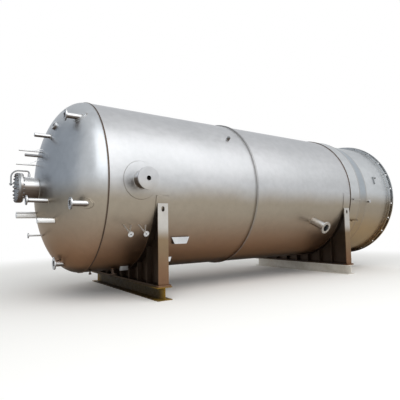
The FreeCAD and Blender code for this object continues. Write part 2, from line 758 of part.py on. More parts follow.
def trunnion(side):
    """Pad, tube and end plate of one trunnion; side is -1 on the near side and 1 on the far side."""
    out = Vector(0, side, 0)
    middle = Vector(trunnion_position, 0, 0)
    along = Vector(1, 0, 0)
    pad_inner = rod(Vector(0, 0, 0), along, front_course_end, shell_seat)
    pad_outer_radius = shell_seat + trunnion_pad_thickness
    pad_radius = trunnion_tube_radius + trunnion_pad_reach
    pad_outer = rod(Vector(0, 0, 0), along, front_course_end, pad_outer_radius)
    seat = rod(Vector(0, 0, 0), along, front_course_end, pad_outer_radius + weld_gap)
    plate_start = shell_radius + trunnion_projection - trunnion_plate_thickness
    pad = rod(middle, out, shell_radius + 2 * long, pad_radius).common(pad_outer).cut(pad_inner)
    tube = rod(middle, out, plate_start, trunnion_tube_radius)
    tube = tube.cut(rod(middle, out, plate_start, trunnion_tube_radius - trunnion_tube_wall)).cut(seat)
    plate_radius = trunnion_tube_radius + trunnion_plate_reach
    plate = rod(middle + out * plate_start, out, trunnion_plate_thickness, plate_radius)
    plate = plate.cut(rod(middle, out, shell_radius + trunnion_projection, trunnion_hole_radius))
    label = "near" if side < 0 else "far"
    return {
        "trunnion_pad_" + label: pad,
        "trunnion_tube_" + label: tube,
        "trunnion_plate_" + label: plate,
    }


def half_coupling(position, degrees, surface, radius):
    """Short boss set through a curved wall and bored through."""
    outward = radial(degrees)
    inside = surface - 2 * shell_wall
    start = Vector(position, 0, 0) + outward * inside
    length = surface + coupling_projection - inside
    body = rod(start, outward, length, radius)
    return body.cut(rod(start, outward, length, radius * coupling_bore / coupling_radius))


def surface_coupling():
    """Half coupling set on the shell's outside."""
    body = half_coupling(shell_coupling[0], shell_coupling[1], shell_radius, coupling_radius)
    return body.cut(rod(Vector(0, 0, 0), Vector(1, 0, 0), front_course_end, shell_seat))


def head_drain_stub():
    """Small drain beside the head seam: a pipe with a thicker threaded end, bored through."""
    position, degrees = head_drain
    outward = radial(degrees)
    start = Vector(position, 0, 0) + outward * (cavity_radius - shell_wall)
    end = Vector(position, 0, 0) + outward * (shell_radius + head_drain_projection)
    length = end.sub(start).Length
    body = rod(start, outward, length, head_drain_radius)
    body = body.fuse(rod(end, outward * -1, head_drain_end_length, head_drain_end_radius))
    body = body.cut(rod(start, outward, length, head_drain_bore))
    return body.cut(rod(Vector(0, 0, 0), Vector(1, 0, 0), front_course_end, cavity_radius))


def underside_cleat():
    """Flat plate that hangs from the shell beside the front saddle."""
    middle = -underside_cleat_offset
    limits_y = (middle - underside_cleat_thickness / 2, middle + underside_cleat_thickness / 2)
    surface = -math.sqrt(shell_radius ** 2 - underside_cleat_offset ** 2)
    plate = block(underside_cleat_limits, limits_y, (surface - underside_cleat_depth, surface + shell_wall))
    return plate.cut(rod(Vector(0, 0, 0), Vector(1, 0, 0), front_course_end, shell_seat))


def nameplate_bracket():
    """Folded bracket with a blank upright face, a flange along its top and two cheeks to the shell."""
    half_top = nameplate_top_width / 2
    half_bottom = nameplate_bottom_width / 2
    bottom = nameplate_level - nameplate_height
    seat = shell_seat * math.cos(math.asin(nameplate_level / shell_seat))
    back = -seat - nameplate_standoff
    front = back - nameplate_thickness
    outline = Part.makePolygon([
        Vector(-half_top, back, nameplate_level), Vector(half_top, back, nameplate_level),
        Vector(half_bottom, back, bottom), Vector(-half_bottom, back, bottom),
        Vector(-half_top, back, nameplate_level)])
    bracket = Part.Face(outline).extrude(Vector(0, -nameplate_thickness, 0))
    inner = -seat / 2
    pieces = [block((-half_top, half_top), (front, inner), (nameplate_level - nameplate_thickness, nameplate_level))]
    for side in (-1, 1):
        limits_x = sorted((side * half_bottom, side * (half_bottom - nameplate_thickness)))
        pieces.append(block(limits_x, (front, inner), (bottom, nameplate_level)))
    bracket = bracket.fuse(pieces)
    bracket.translate(Vector(nameplate_position, 0, 0))
    shell = rod(Vector(0, 0, 0), Vector(1, 0, 0), front_course_end, shell_seat)
    return bracket.cut(shell).removeSplitter()


def angle_cleat():
    """Short angle piece that stands on the skirt: an upright leg and a foot towards the base."""
    foot = skirt_radius + weld_gap
    upright = block((-cleat_width / 2, cleat_width / 2), (-cleat_height / 2, cleat_height / 2),
                    (foot - cleat_depth, foot + cleat_depth))
    lying = block((-cleat_width / 2, cleat_foot - cleat_width / 2),
                  (cleat_height / 2 - cleat_width, cleat_height / 2),
                  (foot - cleat_depth, foot + cleat_depth))
    cleat = upright.fuse(lying)
    cleat.rotate(Vector(0, 0, 0), Vector(1, 0, 0), 90.0 - cleat_angle)
    cleat.translate(Vector(cone_end + cleat_setback, 0, 0))
    skirt = rod(Vector(cone_end, 0, 0), Vector(1, 0, 0), skirt_end - cone_end, foot)
    return cleat.cut(skirt).removeSplitter()


def small_parts():
    """Fittings welded on the shell and the skirt."""
    offset, degrees = skirt_coupling
    return {
        "shell_coupling": surface_coupling(),
        "skirt_coupling": half_coupling(cone_end + offset, degrees, skirt_radius, skirt_coupling_radius),
        "head_drain": head_drain_stub(),
        "bottom_drain": radial_nozzle(*bottom_drain),
        "underside_cleat": underside_cleat(),
        "bottom_outlet": bottom_outlet(),
        "nameplate_bracket": nameplate_bracket(),
        "angle_cleat": angle_cleat(),
    }


def wear_plate(x_centre, horn):
    """Curved plate between the shell and a saddle, ending at the horn angle on both sides."""
    half_width = wear_plate_width / 2
    band = ring(x_centre - half_width, x_centre + half_width, wear_plate_outer, wear_plate_inner)
    reach = 2 * shell_radius
    edge = [radial(horn), radial(180.0 - horn)]
    outline = Part.makePolygon([
        Vector(x_centre - wear_plate_width, 0, 0),
        Vector(x_centre - wear_plate_width, 0, 0) + edge[0] * reach,
        Vector(x_centre - wear_plate_width, -reach, reach),
        Vector(x_centre - wear_plate_width, reach, reach),
        Vector(x_centre - wear_plate_width, 0, 0) + edge[1] * reach,
        Vector(x_centre - wear_plate_width, 0, 0),
    ])
    return band.cut(Part.Face(outline).extrude(Vector(2 * wear_plate_width, 0, 0)))


def rib_slot(x_centre):
    """Round-ended slot through the near end rib."""
    half_width = rib_slot_width / 2
    centre = saddle_top - rib_slot_drop - rib_slot_length / 2
    run = rib_slot_length / 2 - half_width
    outward = Vector(0, 1, 0)
    start = -saddle_half_span - long
    depth = 2 * long
    limits_x = (x_centre - half_width, x_centre + half_width)
    slot = block(limits_x, (start, start + depth), (centre - run, centre + run))
    for end in (centre - run, centre + run):
        slot = slot.fuse(rod(Vector(x_centre, start, end), outward, depth, half_width))
    return slot


def saddle(x_centre):
    """Web with full-width ribs and end ribs, seated against the wear plate."""
    web = block((x_centre - saddle_web_thickness / 2, x_centre + saddle_web_thickness / 2),
                (-saddle_inner_span, saddle_inner_span), (base_plate_top, saddle_top))
    limits_x = (x_centre - saddle_width / 2, x_centre + saddle_width / 2)
    pieces = []
    for number in range(-saddle_ribs_each_side, saddle_ribs_each_side + 1):
        y = number * saddle_rib_share * saddle_inner_span
        limits_y = (y - saddle_rib_thickness / 2, y + saddle_rib_thickness / 2)
        pieces.append(block(limits_x, limits_y, (base_plate_top, saddle_top)))
    frame = web.fuse(pieces)
    start = Vector(x_centre - saddle_width, 0, 0)
    frame = frame.cut(rod(start, Vector(1, 0, 0), 2 * saddle_width, saddle_seat))
    for side in (-1, 1):
        limits_y = sorted((side * saddle_inner_span, side * saddle_half_span))
        frame = frame.fuse(block(limits_x, limits_y, (base_plate_top, saddle_top)))
    return frame.cut(rib_slot(x_centre)).removeSplitter()


def earth_lug():
    """Small plate on the side of the front saddle's end rib for the earth cable."""
    x_edge = front_saddle + saddle_width / 2
    level = base_plate_top + earth_lug_level
    y_outer = -saddle_half_span + saddle_web_thickness
    outline = Part.makePolygon([
        Vector(x_edge, y_outer - earth_lug_thickness, level),
        Vector(x_edge, y_outer - earth_lug_thickness, level + earth_lug_height),
        Vector(x_edge + earth_lug_reach, y_outer - earth_lug_thickness, level + earth_lug_height),
        Vector(x_edge + earth_lug_reach / 2, y_outer - earth_lug_thickness, level),
        Vector(x_edge, y_outer - earth_lug_thickness, level),
    ])
    return Part.Face(outline).extrude(Vector(0, earth_lug_thickness, 0))


def base_plate(x_centre):
    """Flat plate under a saddle."""
    return block((x_centre - base_plate_width / 2, x_centre + base_plate_width / 2),
                 (-base_plate_half_length, base_plate_half_length), (base_plate_bottom, base_plate_top))


def bearer(x_centre):
    """Wide flange beam that lies across under a saddle."""
    top = base_plate_bottom
    bottom = top - bearer_height
    half_flange = bearer_flange_width / 2
    half_web = bearer_web_thickness / 2
    right = [
        (half_flange, bottom), (half_flange, bottom + bearer_flange_thickness),
        (half_web, bottom + bearer_flange_thickness), (half_web, top - bearer_flange_thickness),
        (half_flange, top - bearer_flange_thickness), (half_flange, top),
    ]
    left = [(-x, z) for x, z in reversed(right)]
    corners = [Vector(x_centre + x, -bearer_half_length, z) for x, z in right + left]
    outline = Part.makePolygon(corners + [corners[0]])
    return Part.Face(outline).extrude(Vector(0, 2 * bearer_half_length, 0))


def support_parts():
    """Wear plates, saddles, base plates and bearers at both ends."""
    parts = {"earth_lug": earth_lug()}
    places = (("front", front_saddle, front_wear_plate_horn), ("rear", rear_saddle, rear_wear_plate_horn))
    for label, x_centre, horn in places:
        parts["wear_plate_" + label] = wear_plate(x_centre, horn)
        parts["saddle_" + label] = saddle(x_centre)
        parts["base_plate_" + label] = base_plate(x_centre)
        parts["bearer_" + label] = bearer(x_centre)
    return parts


def all_parts():
    """Every piece by name, in the vessel's frame."""
    parts = shell_parts()
    parts.update(skirt_parts())
    parts.update(manway_parts())
    parts.update(davit_parts())
    parts.update(head_parts())
    for name, sizes in side_nozzles.items():
        parts[name] = side_nozzle(*sizes)
    parts.update(trunnion(-1))
    parts.update(trunnion(1))
    parts.update(small_parts())
    parts.update(support_parts())
    return parts


def main():
    """Write one STEP file for each piece, with the origin on the ground under the front saddle."""
    os.makedirs("parts", exist_ok=True)
    for name, shape in all_parts().items():
        site = shape.copy()
        site.translate(Vector(-front_saddle, 0, axis_height))
        site.exportStep("parts/" + name + ".step")


main()
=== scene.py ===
import json
import math
from functools import partial

import bmesh
import bpy
from mathutils import Matrix, Vector


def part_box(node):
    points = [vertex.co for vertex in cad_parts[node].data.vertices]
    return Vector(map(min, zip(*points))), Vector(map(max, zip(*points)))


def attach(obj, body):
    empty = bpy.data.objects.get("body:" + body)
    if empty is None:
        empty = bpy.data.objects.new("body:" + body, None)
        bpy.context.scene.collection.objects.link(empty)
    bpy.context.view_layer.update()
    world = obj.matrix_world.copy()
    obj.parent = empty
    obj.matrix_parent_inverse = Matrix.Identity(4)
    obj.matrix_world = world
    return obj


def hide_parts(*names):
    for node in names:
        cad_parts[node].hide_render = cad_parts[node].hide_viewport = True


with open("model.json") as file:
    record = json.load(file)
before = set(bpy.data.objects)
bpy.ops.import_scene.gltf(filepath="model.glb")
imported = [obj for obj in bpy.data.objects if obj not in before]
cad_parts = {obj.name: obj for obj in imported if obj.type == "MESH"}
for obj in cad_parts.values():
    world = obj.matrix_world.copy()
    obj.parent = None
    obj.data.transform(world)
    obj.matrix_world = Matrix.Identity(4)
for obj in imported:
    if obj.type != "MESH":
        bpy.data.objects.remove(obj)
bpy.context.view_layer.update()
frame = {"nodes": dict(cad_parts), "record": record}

bl_info = {
    "name": "Stainless pressure vessel dressing",
    "version": (1, 0, 0),
    "blender": (4, 5, 0),
    "location": "3D View > Sidebar > Vessel",
    "description": "Finishes, weld beads, bolting and studio for a horizontal stainless pressure vessel",
    "category": "Object",
}

# The vessel's own measures in metres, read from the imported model.
FRONT_LOW, FRONT_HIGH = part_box("shell_course_front")
MIDDLE_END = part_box("shell_course_middle")[1].x
COLLAR_LOW, COLLAR_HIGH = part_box("skirt_collar")
CONE_LOW, CONE_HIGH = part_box("skirt_cone")
SKIRT_LOW, SKIRT_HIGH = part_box("skirt_shell")
SHELL_RADIUS = (FRONT_HIGH.z - FRONT_LOW.z) / 2
AXIS_HEIGHT = (FRONT_HIGH.z + FRONT_LOW.z) / 2
TANGENT = FRONT_LOW.x
SKIRT_RADIUS = (SKIRT_HIGH.z - SKIRT_LOW.z) / 2
COLLAR_RADIUS = COLLAR_HIGH.z - AXIS_HEIGHT
MIDDLE_X = (TANGENT + SKIRT_HIGH.x) / 2

# Depth of the front head's curve, and thickness of the pads on it.
HEAD_DEPTH, PAD_THICKNESS = 0.890, 0.014
# Pipes that stand on the head: outside radius, and the radius of the pad under it where there is one.
HEAD_PIPES = {
    "head_nozzle_top": (0.0572, 0.0972),
    "head_nozzle_near": (0.0572, 0.0972),
    "head_nozzle_middle": (0.0445, None),
    "head_nozzle_bottom": (0.0699, None),
    "head_nozzle_small": (0.0169, None),
    "head_stub_lower": (0.0572, None),
    "head_stub_upper": (0.0424, None),
    "head_stub_large": (0.0730, None),
    "head_stub_short": (0.0302, None),
    "manway_neck": (0.2285, None),
}
# Pipes that stand square on the shell: middle along the vessel, degrees above the horizontal on the
# near side, outside radius, radius of the surface, leg of the fillet.
NEAR_SIDE_PIPES = (
    (-0.788, -27.6, 0.0169, SHELL_RADIUS, 0.006),
    (-0.461, -27.5, 0.0169, SHELL_RADIUS, 0.006),
    (4.982, -25.5, 0.1096, SHELL_RADIUS, 0.012),
    (-0.563, -73.2, 0.0381, SHELL_RADIUS, 0.008),
)

# Fractal noise stays mostly between the first two values, and nearly always between the other two.
NOISE_LOW, NOISE_HIGH, NOISE_LEAST, NOISE_MOST = 0.35, 0.65, 0.3, 0.7
# Share of the steel's colour that a dull patch takes at most.
CLOUD_SHARE = 0.35
# How far the mottle takes the steel's tone, as a factor, and its roughness, as a difference.
TONE_SPREAD, ROUGHNESS_SPREAD = (0.95, 1.04), (-0.04, 0.05)
# Painted shade between the saddles' ribs: the share of the plate that it hides, and the width of its edge.
GRIME_SHARE, GRIME_EDGE = 0.85, 0.05
# Sizes of the patches and scuffs in the beams' paint, and of the flecks in the gasket.
PAINT_PATCH, PAINT_SCUFF, GASKET_FLECK = 0.35, 0.06, 0.004
# Road dirt and painted shade on a beam under the vessel: the distances from the vessel's middle plane
# where it is full and where it ends, how far the paint's patches push these about, and the share of the
# paint that it hides.
DIRT_FULL, DIRT_END, DIRT_PUSH, DIRT_SHARE = 2.05, 2.35, 0.8, 0.88


def linear(code):
    """Linear colour of a six-figure sRGB code."""
    parts = [int(code[start:start + 2], 16) / 255 for start in (1, 3, 5)]
    return [part / 12.92 if part <= 0.04045 else ((part + 0.055) / 1.055) ** 2.4 for part in parts] + [1.0]


def add_node(tree, kind, inputs=None, **settings):
    """Adds one node with its settings, and sets or links its inputs."""
    node = tree.nodes.new(kind)
    for name, value in settings.items():
        setattr(node, name, value)
    for socket, value in (inputs or {}).items():
        if isinstance(value, bpy.types.NodeSocket):
            tree.links.new(value, node.inputs[socket])
        else:
            node.inputs[socket].default_value = value
    return node


def new_material(name):
    """Makes an empty material, and gives its node tree and output node."""
    material = bpy.data.materials.new(name)
    material.use_nodes = True
    material.node_tree.nodes.clear()
    return material.node_tree, add_node(material.node_tree, "ShaderNodeOutputMaterial")


def dusted(tree, settings, height, cloud, clean, film, underside, dust_colours):
    """Colour of steel under site dust and painted reflection of the ground, and the share that they cover.

    They lie by height where film gives three heights, or, as dust and painted shade, on
    faces that look down where underside gives three limits for the upward part of the normal.
    """
    if underside:
        facing = add_node(tree, "ShaderNodeSeparateXYZ", {
            "Vector": add_node(tree, "ShaderNodeNewGeometry").outputs["Normal"]})
        source, limits = facing.outputs["Z"], underside
    else:
        wander = add_node(tree, "ShaderNodeMath", {
            0: cloud, 1: settings.film_wander, 2: height}, operation="MULTIPLY_ADD")
        level = add_node(tree, "ShaderNodeMath", {
            0: wander.outputs[0], 1: settings.film_wander / 2}, operation="SUBTRACT")
        source, limits = level.outputs[0], film or settings.shell_film
    thin, thick = [add_node(tree, "ShaderNodeMapRange", {
        "Value": source, "From Min": start, "From Max": full},
        interpolation_type="SMOOTHSTEP").outputs["Result"] for start, full in zip(limits, limits[1:])]
    # The dust colours also paint the reflection of the dark ground low down and the shade on faces that look
    # down.
    light_dust, dark_dust = dust_colours or (settings.film_colour, settings.deep_film_colour)
    dust = add_node(tree, "ShaderNodeMix", {
        0: thick, 6: linear(light_dust), 7: linear(dark_dust)}, data_type="RGBA")
    filmed = add_node(tree, "ShaderNodeMix", {0: thin, 6: clean, 7: dust.outputs[2]}, data_type="RGBA")
    return filmed.outputs[2], thin


def marked(tree, settings, place, mottle, colour, belly, sheltered, seams):
    """Colour with its local marks: painted shade on the underside and between the saddles' ribs, and the
    tint beside the seams.
    """
    marks = []
    # Painted shade: the lowest part of the steel turns dark towards the bottom.
    if belly:
        lowest = add_node(tree, "ShaderNodeMapRange", {
            "Value": place.outputs["Z"], "From Min": settings.belly[0], "From Max": settings.belly[1]},
            interpolation_type="SMOOTHSTEP")
        marks.append((lowest.outputs["Result"], settings.belly_colour))
    # Painted shade between the saddles' ribs: dark within shelter of the middle plane.
    if sheltered:
        aside = add_node(tree, "ShaderNodeMath", {0: place.outputs["Y"]}, operation="ABSOLUTE")
        pocket = add_node(tree, "ShaderNodeMapRange", {
            "Value": aside.outputs[0], "From Min": settings.shelter,
            "From Max": settings.shelter - GRIME_EDGE, "To Max": GRIME_SHARE})
        marks.append((pocket.outputs["Result"], settings.grime_colour))
    for seam in seams:
        beside = add_node(tree, "ShaderNodeMath", {0: place.outputs["X"], 1: seam, 2: settings.tint_reach},
                          operation="COMPARE")
        streaky = add_node(tree, "ShaderNodeMath", {0: beside.outputs[0], 1: mottle}, operation="MULTIPLY")
        marks.append((streaky.outputs[0], settings.tint_colour))
    for share, mark in marks:
        colour = add_node(tree, "ShaderNodeMix", {0: share, 6: colour, 7: linear(mark)},
                          data_type="RGBA").outputs[2]
    return colour


def steel_relief(tree, settings, position, grain, wave):
    """Normal with the steel's grain and, where wave gives their height, the long waves of a sheet.

    Real grain is far too fine to show, so it is drawn coarser, at a few millimetres.
    """
    grit = add_node(tree, "ShaderNodeTexNoise", {"Vector": position, "Scale": 1 / grain, "Detail": 2.0})
    relief = add_node(tree, "ShaderNodeBump", {
        "Height": grit.outputs["Fac"], "Strength": 0.10, "Distance": grain / 4})
    if wave:
        swell = add_node(tree, "ShaderNodeTexNoise", {
            "Vector": position, "Scale": 1 / settings.wave_size, "Detail": 1.0})
        relief = add_node(tree, "ShaderNodeBump", {
            "Height": swell.outputs["Fac"], "Strength": 1.0, "Distance": wave,
            "Normal": relief.outputs["Normal"]})
    return relief.outputs["Normal"]


def steel_finish(settings, name, colour, roughness, grain, wave=0.0, film=None, underside=None,
                 dust_colours=None, sheltered=False, belly=False, seams=(), cloud_colour=None):
    """Stainless steel whose tone, gloss and grain vary, with site dust on it and tint beside its seams.

    film or underside say where dust lies together with painted reflection of the ground
    and painted shade. With sheltered the plates carry painted shade between the saddles' ribs, and
    with belly the underside is painted as dark as the shade under the vessel.
    """
    tree, output = new_material(name)
    position = add_node(tree, "ShaderNodeTexCoord").outputs["Object"]
    place = add_node(tree, "ShaderNodeSeparateXYZ", {"Vector": position})
    cloud, mottle = [add_node(tree, "ShaderNodeTexNoise", {
        "Vector": position, "Scale": 1 / size, "Detail": detail, "Roughness": rough}).outputs["Fac"]
        for size, detail, rough in ((settings.cloud_size, 4.0, 0.5), (settings.mottle_size, 5.0, 0.6))]
    dullness = add_node(tree, "ShaderNodeMapRange", {
        "Value": cloud, "From Min": NOISE_LOW, "From Max": NOISE_HIGH, "To Max": CLOUD_SHARE})
    shade = add_node(tree, "ShaderNodeMix", {
        0: dullness.outputs["Result"], 6: linear(colour),
        7: linear(cloud_colour or settings.dull_colour)}, data_type="RGBA")
    filmed, dustiness = dusted(tree, settings, place.outputs["Z"], cloud, shade.outputs[2], film,
                               underside, dust_colours)
    filmed = marked(tree, settings, place, mottle, filmed, belly, sheltered, seams)
    speck = add_node(tree, "ShaderNodeMapRange", {
        "Value": mottle, "From Min": NOISE_LOW, "From Max": NOISE_HIGH,
        "To Min": TONE_SPREAD[0], "To Max": TONE_SPREAD[1]})
    toned = add_node(tree, "ShaderNodeVectorMath", {
        0: filmed, "Scale": speck.outputs["Result"]}, operation="SCALE")
    gloss = add_node(tree, "ShaderNodeMapRange", {
        "Value": mottle, "From Min": NOISE_LEAST, "From Max": NOISE_MOST,
        "To Min": roughness + ROUGHNESS_SPREAD[0], "To Max": roughness + ROUGHNESS_SPREAD[1]})
    # Blasted and dusty steel scatters light, so it mirrors less at its outline than a polished one.
    glancing = add_node(tree, "ShaderNodeMix", {
        0: dustiness, 6: linear(settings.edge_colour), 7: linear(settings.dusty_edge_colour)},
        data_type="RGBA")
    shader = add_node(tree, "ShaderNodeBsdfPrincipled", {
        "Base Color": toned.outputs["Vector"], "Metallic": 1.0, "Roughness": gloss.outputs["Result"],
        "Specular Tint": glancing.outputs[2],
        "Normal": steel_relief(tree, settings, position, grain, wave)})
    tree.links.new(shader.outputs["BSDF"], output.inputs["Surface"])


def paint_finish(name, coat_colour, faded_colour, rust_colour, dirt_colour=None):
    """Enamel on hot rolled beams: brushed on, chalky, worn to rust along its scuffs.

    With a dirt and shade colour, the beam turns black towards the vessel's middle plane, under the
    vessel: road dirt, and painted shade.
    """
    tree, output = new_material(name)
    position = add_node(tree, "ShaderNodeTexCoord").outputs["Object"]
    patch, scuff = [add_node(tree, "ShaderNodeTexNoise", {
        "Vector": position, "Scale": 1 / size, "Detail": 6.0, "Roughness": rough}).outputs["Fac"]
        for size, rough in ((PAINT_PATCH, 0.65), (PAINT_SCUFF, 0.7))]
    # What lies on the coat: its pattern, where that sets in and is full, the share it hides, the colour.
    layers = [(patch, 0.35, 0.7, 1.0, faded_colour), (scuff, 0.60, 0.72, 1.0, rust_colour)]
    if dirt_colour:
        # Towards the middle plane, under the vessel, the paint turns black: road dirt and painted shade.
        place = add_node(tree, "ShaderNodeSeparateXYZ", {"Vector": position})
        aside = add_node(tree, "ShaderNodeMath", {0: place.outputs["Y"]}, operation="ABSOLUTE")
        blotch = add_node(tree, "ShaderNodeMath", {
            0: patch, 1: DIRT_PUSH, 2: aside.outputs[0]}, operation="MULTIPLY_ADD")
        layers.append((blotch.outputs[0], DIRT_END, DIRT_FULL, DIRT_SHARE, dirt_colour))
    worn = linear(coat_colour)
    for pattern, start, full, most, layer_colour in layers:
        share = add_node(tree, "ShaderNodeMapRange", {
            "Value": pattern, "From Min": start, "From Max": full, "To Max": most},
            interpolation_type="SMOOTHSTEP")
        worn = add_node(tree, "ShaderNodeMix", {
            0: share.outputs["Result"], 6: worn, 7: linear(layer_colour)}, data_type="RGBA").outputs[2]
    gloss = add_node(tree, "ShaderNodeMapRange", {
        "Value": scuff, "From Min": 0.4, "From Max": 0.7, "To Min": 0.5, "To Max": 0.85})
    relief = add_node(tree, "ShaderNodeBump", {"Height": scuff, "Strength": 0.25, "Distance": 0.002})
    shader = add_node(tree, "ShaderNodeBsdfPrincipled", {
        "Base Color": worn, "Metallic": 0.0, "Roughness": gloss.outputs["Result"],
        "Specular IOR Level": 0.2, "Normal": relief.outputs["Normal"]})
    tree.links.new(shader.outputs["BSDF"], output.inputs["Surface"])


def sheet_finish(name, settings):
    """Compressed fibre gasket: matt, dark and slightly speckled."""
    tree, output = new_material(name)
    position = add_node(tree, "ShaderNodeTexCoord").outputs["Object"]
    # Real fibres are finer; they are drawn coarser, as flecks.
    fleck = add_node(tree, "ShaderNodeTexNoise", {
        "Vector": position, "Scale": 1 / GASKET_FLECK, "Detail": 3.0})
    share = add_node(tree, "ShaderNodeMapRange", {
        "Value": fleck.outputs["Fac"], "From Min": 0.4, "From Max": 0.6})
    colour = add_node(tree, "ShaderNodeMix", {
        0: share.outputs["Result"], 6: linear(settings.gasket_colour), 7: linear(settings.gasket_fleck)},
        data_type="RGBA")
    shader = add_node(tree, "ShaderNodeBsdfPrincipled", {"Base Color": colour.outputs[2], "Roughness": 0.85})
    tree.links.new(shader.outputs["BSDF"], output.inputs["Surface"])


def wear(thing, finish):
    """Gives an object one material in all its slots."""
    material = bpy.data.materials[finish]
    if not thing.data.materials:
        thing.data.materials.append(material)
    for number in range(len(thing.data.materials)):
        thing.data.materials[number] = material


def tone(name, place, code):
    """Setting that holds the colour of something as its sRGB code."""
    return bpy.props.StringProperty(name=name, description="sRGB code of " + place, default=code)


def length(name, description, metres):
    """Setting that holds a length."""
    return bpy.props.FloatProperty(name=name, description=description, default=metres, unit="LENGTH")


def levels(name, description, values):
    """Setting that holds the values at which something sets in and is full."""
    return bpy.props.FloatVectorProperty(
        name=name, description=description, size=len(values), default=values)


# Where dust lies, together with the painted reflection of the ground and the painted shade on faces that
# look down.
DUST_HEIGHTS = "Heights where the dust film starts, is full and is darkest"
DUST_NORMALS = "Upward part of the normal where dust starts, is full and is darkest"


class VesselFinishSettings(bpy.types.PropertyGroup):
    """Colours and pattern sizes of the finishes."""
    shell_colour: tone("Shell", "the satin shell sheet", "#BBBCBE")
    head_colour: tone("Head", "the pressed head", "#B4B8BC")
    skirt_colour: tone("Skirt", "the skirt plate", "#BEC1C3")
    cone_colour: tone("Tapered course", "the duller tapered course", "#A4ABB1")
    support_colour: tone("Saddles", "the saddle plate", "#BDB9B2")
    fitting_colour: tone("Fittings", "pipes and small fittings", "#D4D5D6")
    # Near-white steel of the closed stubs: a painted highlight for the bright light they mirror.
    fresh_colour: tone("Stubs", "the freshly cut stubs", "#F4F4F3")
    manway_colour: tone("Manway", "the manway's forged cover", "#8F9294")
    bolting_colour: tone("Bolting", "studs and nuts", "#77777A")
    weld_colour: tone("Weld metal", "the weld beads", "#A3A19E")
    dull_colour: tone("Dull patches", "the patches that cloud the sheet", "#A6A9AB")
    edge_colour: tone("Glancing tint", "what dulls the outline of clean steel", "#E3E5E8")
    dusty_edge_colour: tone("Dusty glancing tint", "what dulls the outline of dusty steel", "#D8D2CA")
    tint_colour: tone("Seam tint", "the scour left beside the seams", "#7C7A78")
    # Dust colours, which also paint the reflection of the dark ground on the lower half.
    film_colour: tone("Dust film", "the dusty lower half", "#968D7F")
    deep_film_colour: tone("Deep film", "the film near the ground", "#8A6950")
    deep_skirt_dust: tone("Deep skirt dust", "the film low on the skirt", "#9E886A")
    # Painted shade on the vessel's underside.
    belly_colour: tone("Belly colour", "the film on the vessel's underside", "#3E2C20")
    # Painted shade between the saddles' ribs and under the seam band; also the seam band's cloudy patches.
    grime_colour: tone("Grime", "the grime between the saddles' ribs", "#3E3833")
    # The saddles' dust colours also paint the reflection of the ground low down on them.
    saddle_dust: tone("Saddle dust", "the dirt on the saddles", "#84725B")
    deep_saddle_dust: tone("Deep saddle dust", "that dirt near the ground", "#7A5E49")
    # The manway's dust colours also paint the shade on the undersides of pipes, the neck and the forgings.
    neck_dust: tone("Manway dust", "the dirt under the manway", "#6F665F")
    deep_neck_dust: tone("Deep manway dust", "that dirt at the neck's underside", "#5A4E46")
    seam_ring_colour: tone("Seam ring", "the dark ring on the head's seam", "#57493F")
    paint_colour: tone("Beam paint", "the ochre paint", "#8A6A17")
    faded_colour: tone("Dirty paint", "the paint under its dirt", "#5A4A20")
    rust_colour: tone("Rust", "the steel where the paint is gone", "#3A2A1E")
    # Road dirt and painted shade on the front beam, under the vessel.
    dirt_colour: tone("Road dirt", "the dirt on the front beam", "#2A2210")
    rear_paint_colour: tone("Rear beam paint", "the pale paint of the rear beam", "#D9D6CF")
    rear_faded_colour: tone("Rear faded paint", "that paint where it is chalky", "#C9C4BA")
    rear_rust_colour: tone("Rear rust", "the steel where that paint is gone", "#9A8A7A")
    gasket_colour: tone("Gasket", "the gasket", "#2A2A2C")
    gasket_fleck: tone("Gasket fleck", "the gasket's fibres", "#3C3C3E")
    cloud_size: length("Cloud size", "Size of the soft patches", 1.4)
    mottle_size: length("Mottle size", "Size of the pickling mottle", 0.16)
    wave_size: length("Wave size", "Length of the waves in the rolled sheet", 1.1)
    tint_reach: length("Tint reach", "Width of the tint on each side of a seam", 0.03)
    film_wander: length("Film wander", "How far the film's edge wanders", 0.25)
    # Heights and normals where dust lies, with painted reflection of the ground and painted shade under
    # things.
    shell_film: levels("Film on the shell", DUST_HEIGHTS,
                       (AXIS_HEIGHT + 0.10, AXIS_HEIGHT - 0.45, AXIS_HEIGHT - 1.70))
    skirt_film: levels("Film on the skirt", DUST_HEIGHTS,
                       (AXIS_HEIGHT + 0.10, AXIS_HEIGHT - 0.40, AXIS_HEIGHT - 1.20))
    saddle_film: levels("Film on the saddles", DUST_HEIGHTS, (1.52, 1.22, 0.40))
    # Painted shade: heights between which the underside turns dark.
    belly: levels("Belly", "Heights between which the underside turns dark",
                  (AXIS_HEIGHT - 1.70, AXIS_HEIGHT - 1.90))
    pipe_underside: levels("Undersides of pipes", DUST_NORMALS, (0.05, -0.50, -0.90))
    side_underside: levels("Undersides of side nozzles", DUST_NORMALS, (-0.30, -0.50, -0.95))
    neck_underside: levels("Underside of the manway", DUST_NORMALS, (0.35, 0.00, -0.80))
    plate_underside: levels("Undersides of plates", DUST_NORMALS, (-0.65, -0.95, -1.00))
    # Inside this reach the saddles and wear plates carry painted shade between the ribs.
    shelter: length("Shelter", "Distance from the middle plane inside which the saddles are grimy", 1.90)


class VesselWeldSettings(bpy.types.PropertyGroup):
    """Sizes of the weld beads."""
    butt_width: length("Butt bead", "Half width of the beads that join the courses", 0.013)
    butt_crown: length("Butt crown", "Height of the butt beads", 0.004)
    fillet: length("Fillet", "Leg of the fillets round pads, rings and pipes", 0.010)
    # The fillet's dark finish also paints the shade in the crevice at the collar's edge.
    lap_fillet: length("Lap fillet", "Leg of the dark fillet where the collar laps the shell", 0.020)
    seam_degrees: bpy.props.FloatVectorProperty(
        name="Long seams", description="Degrees above the near side where each course's long seam lies",
        default=(118.0, 152.0, 131.0))


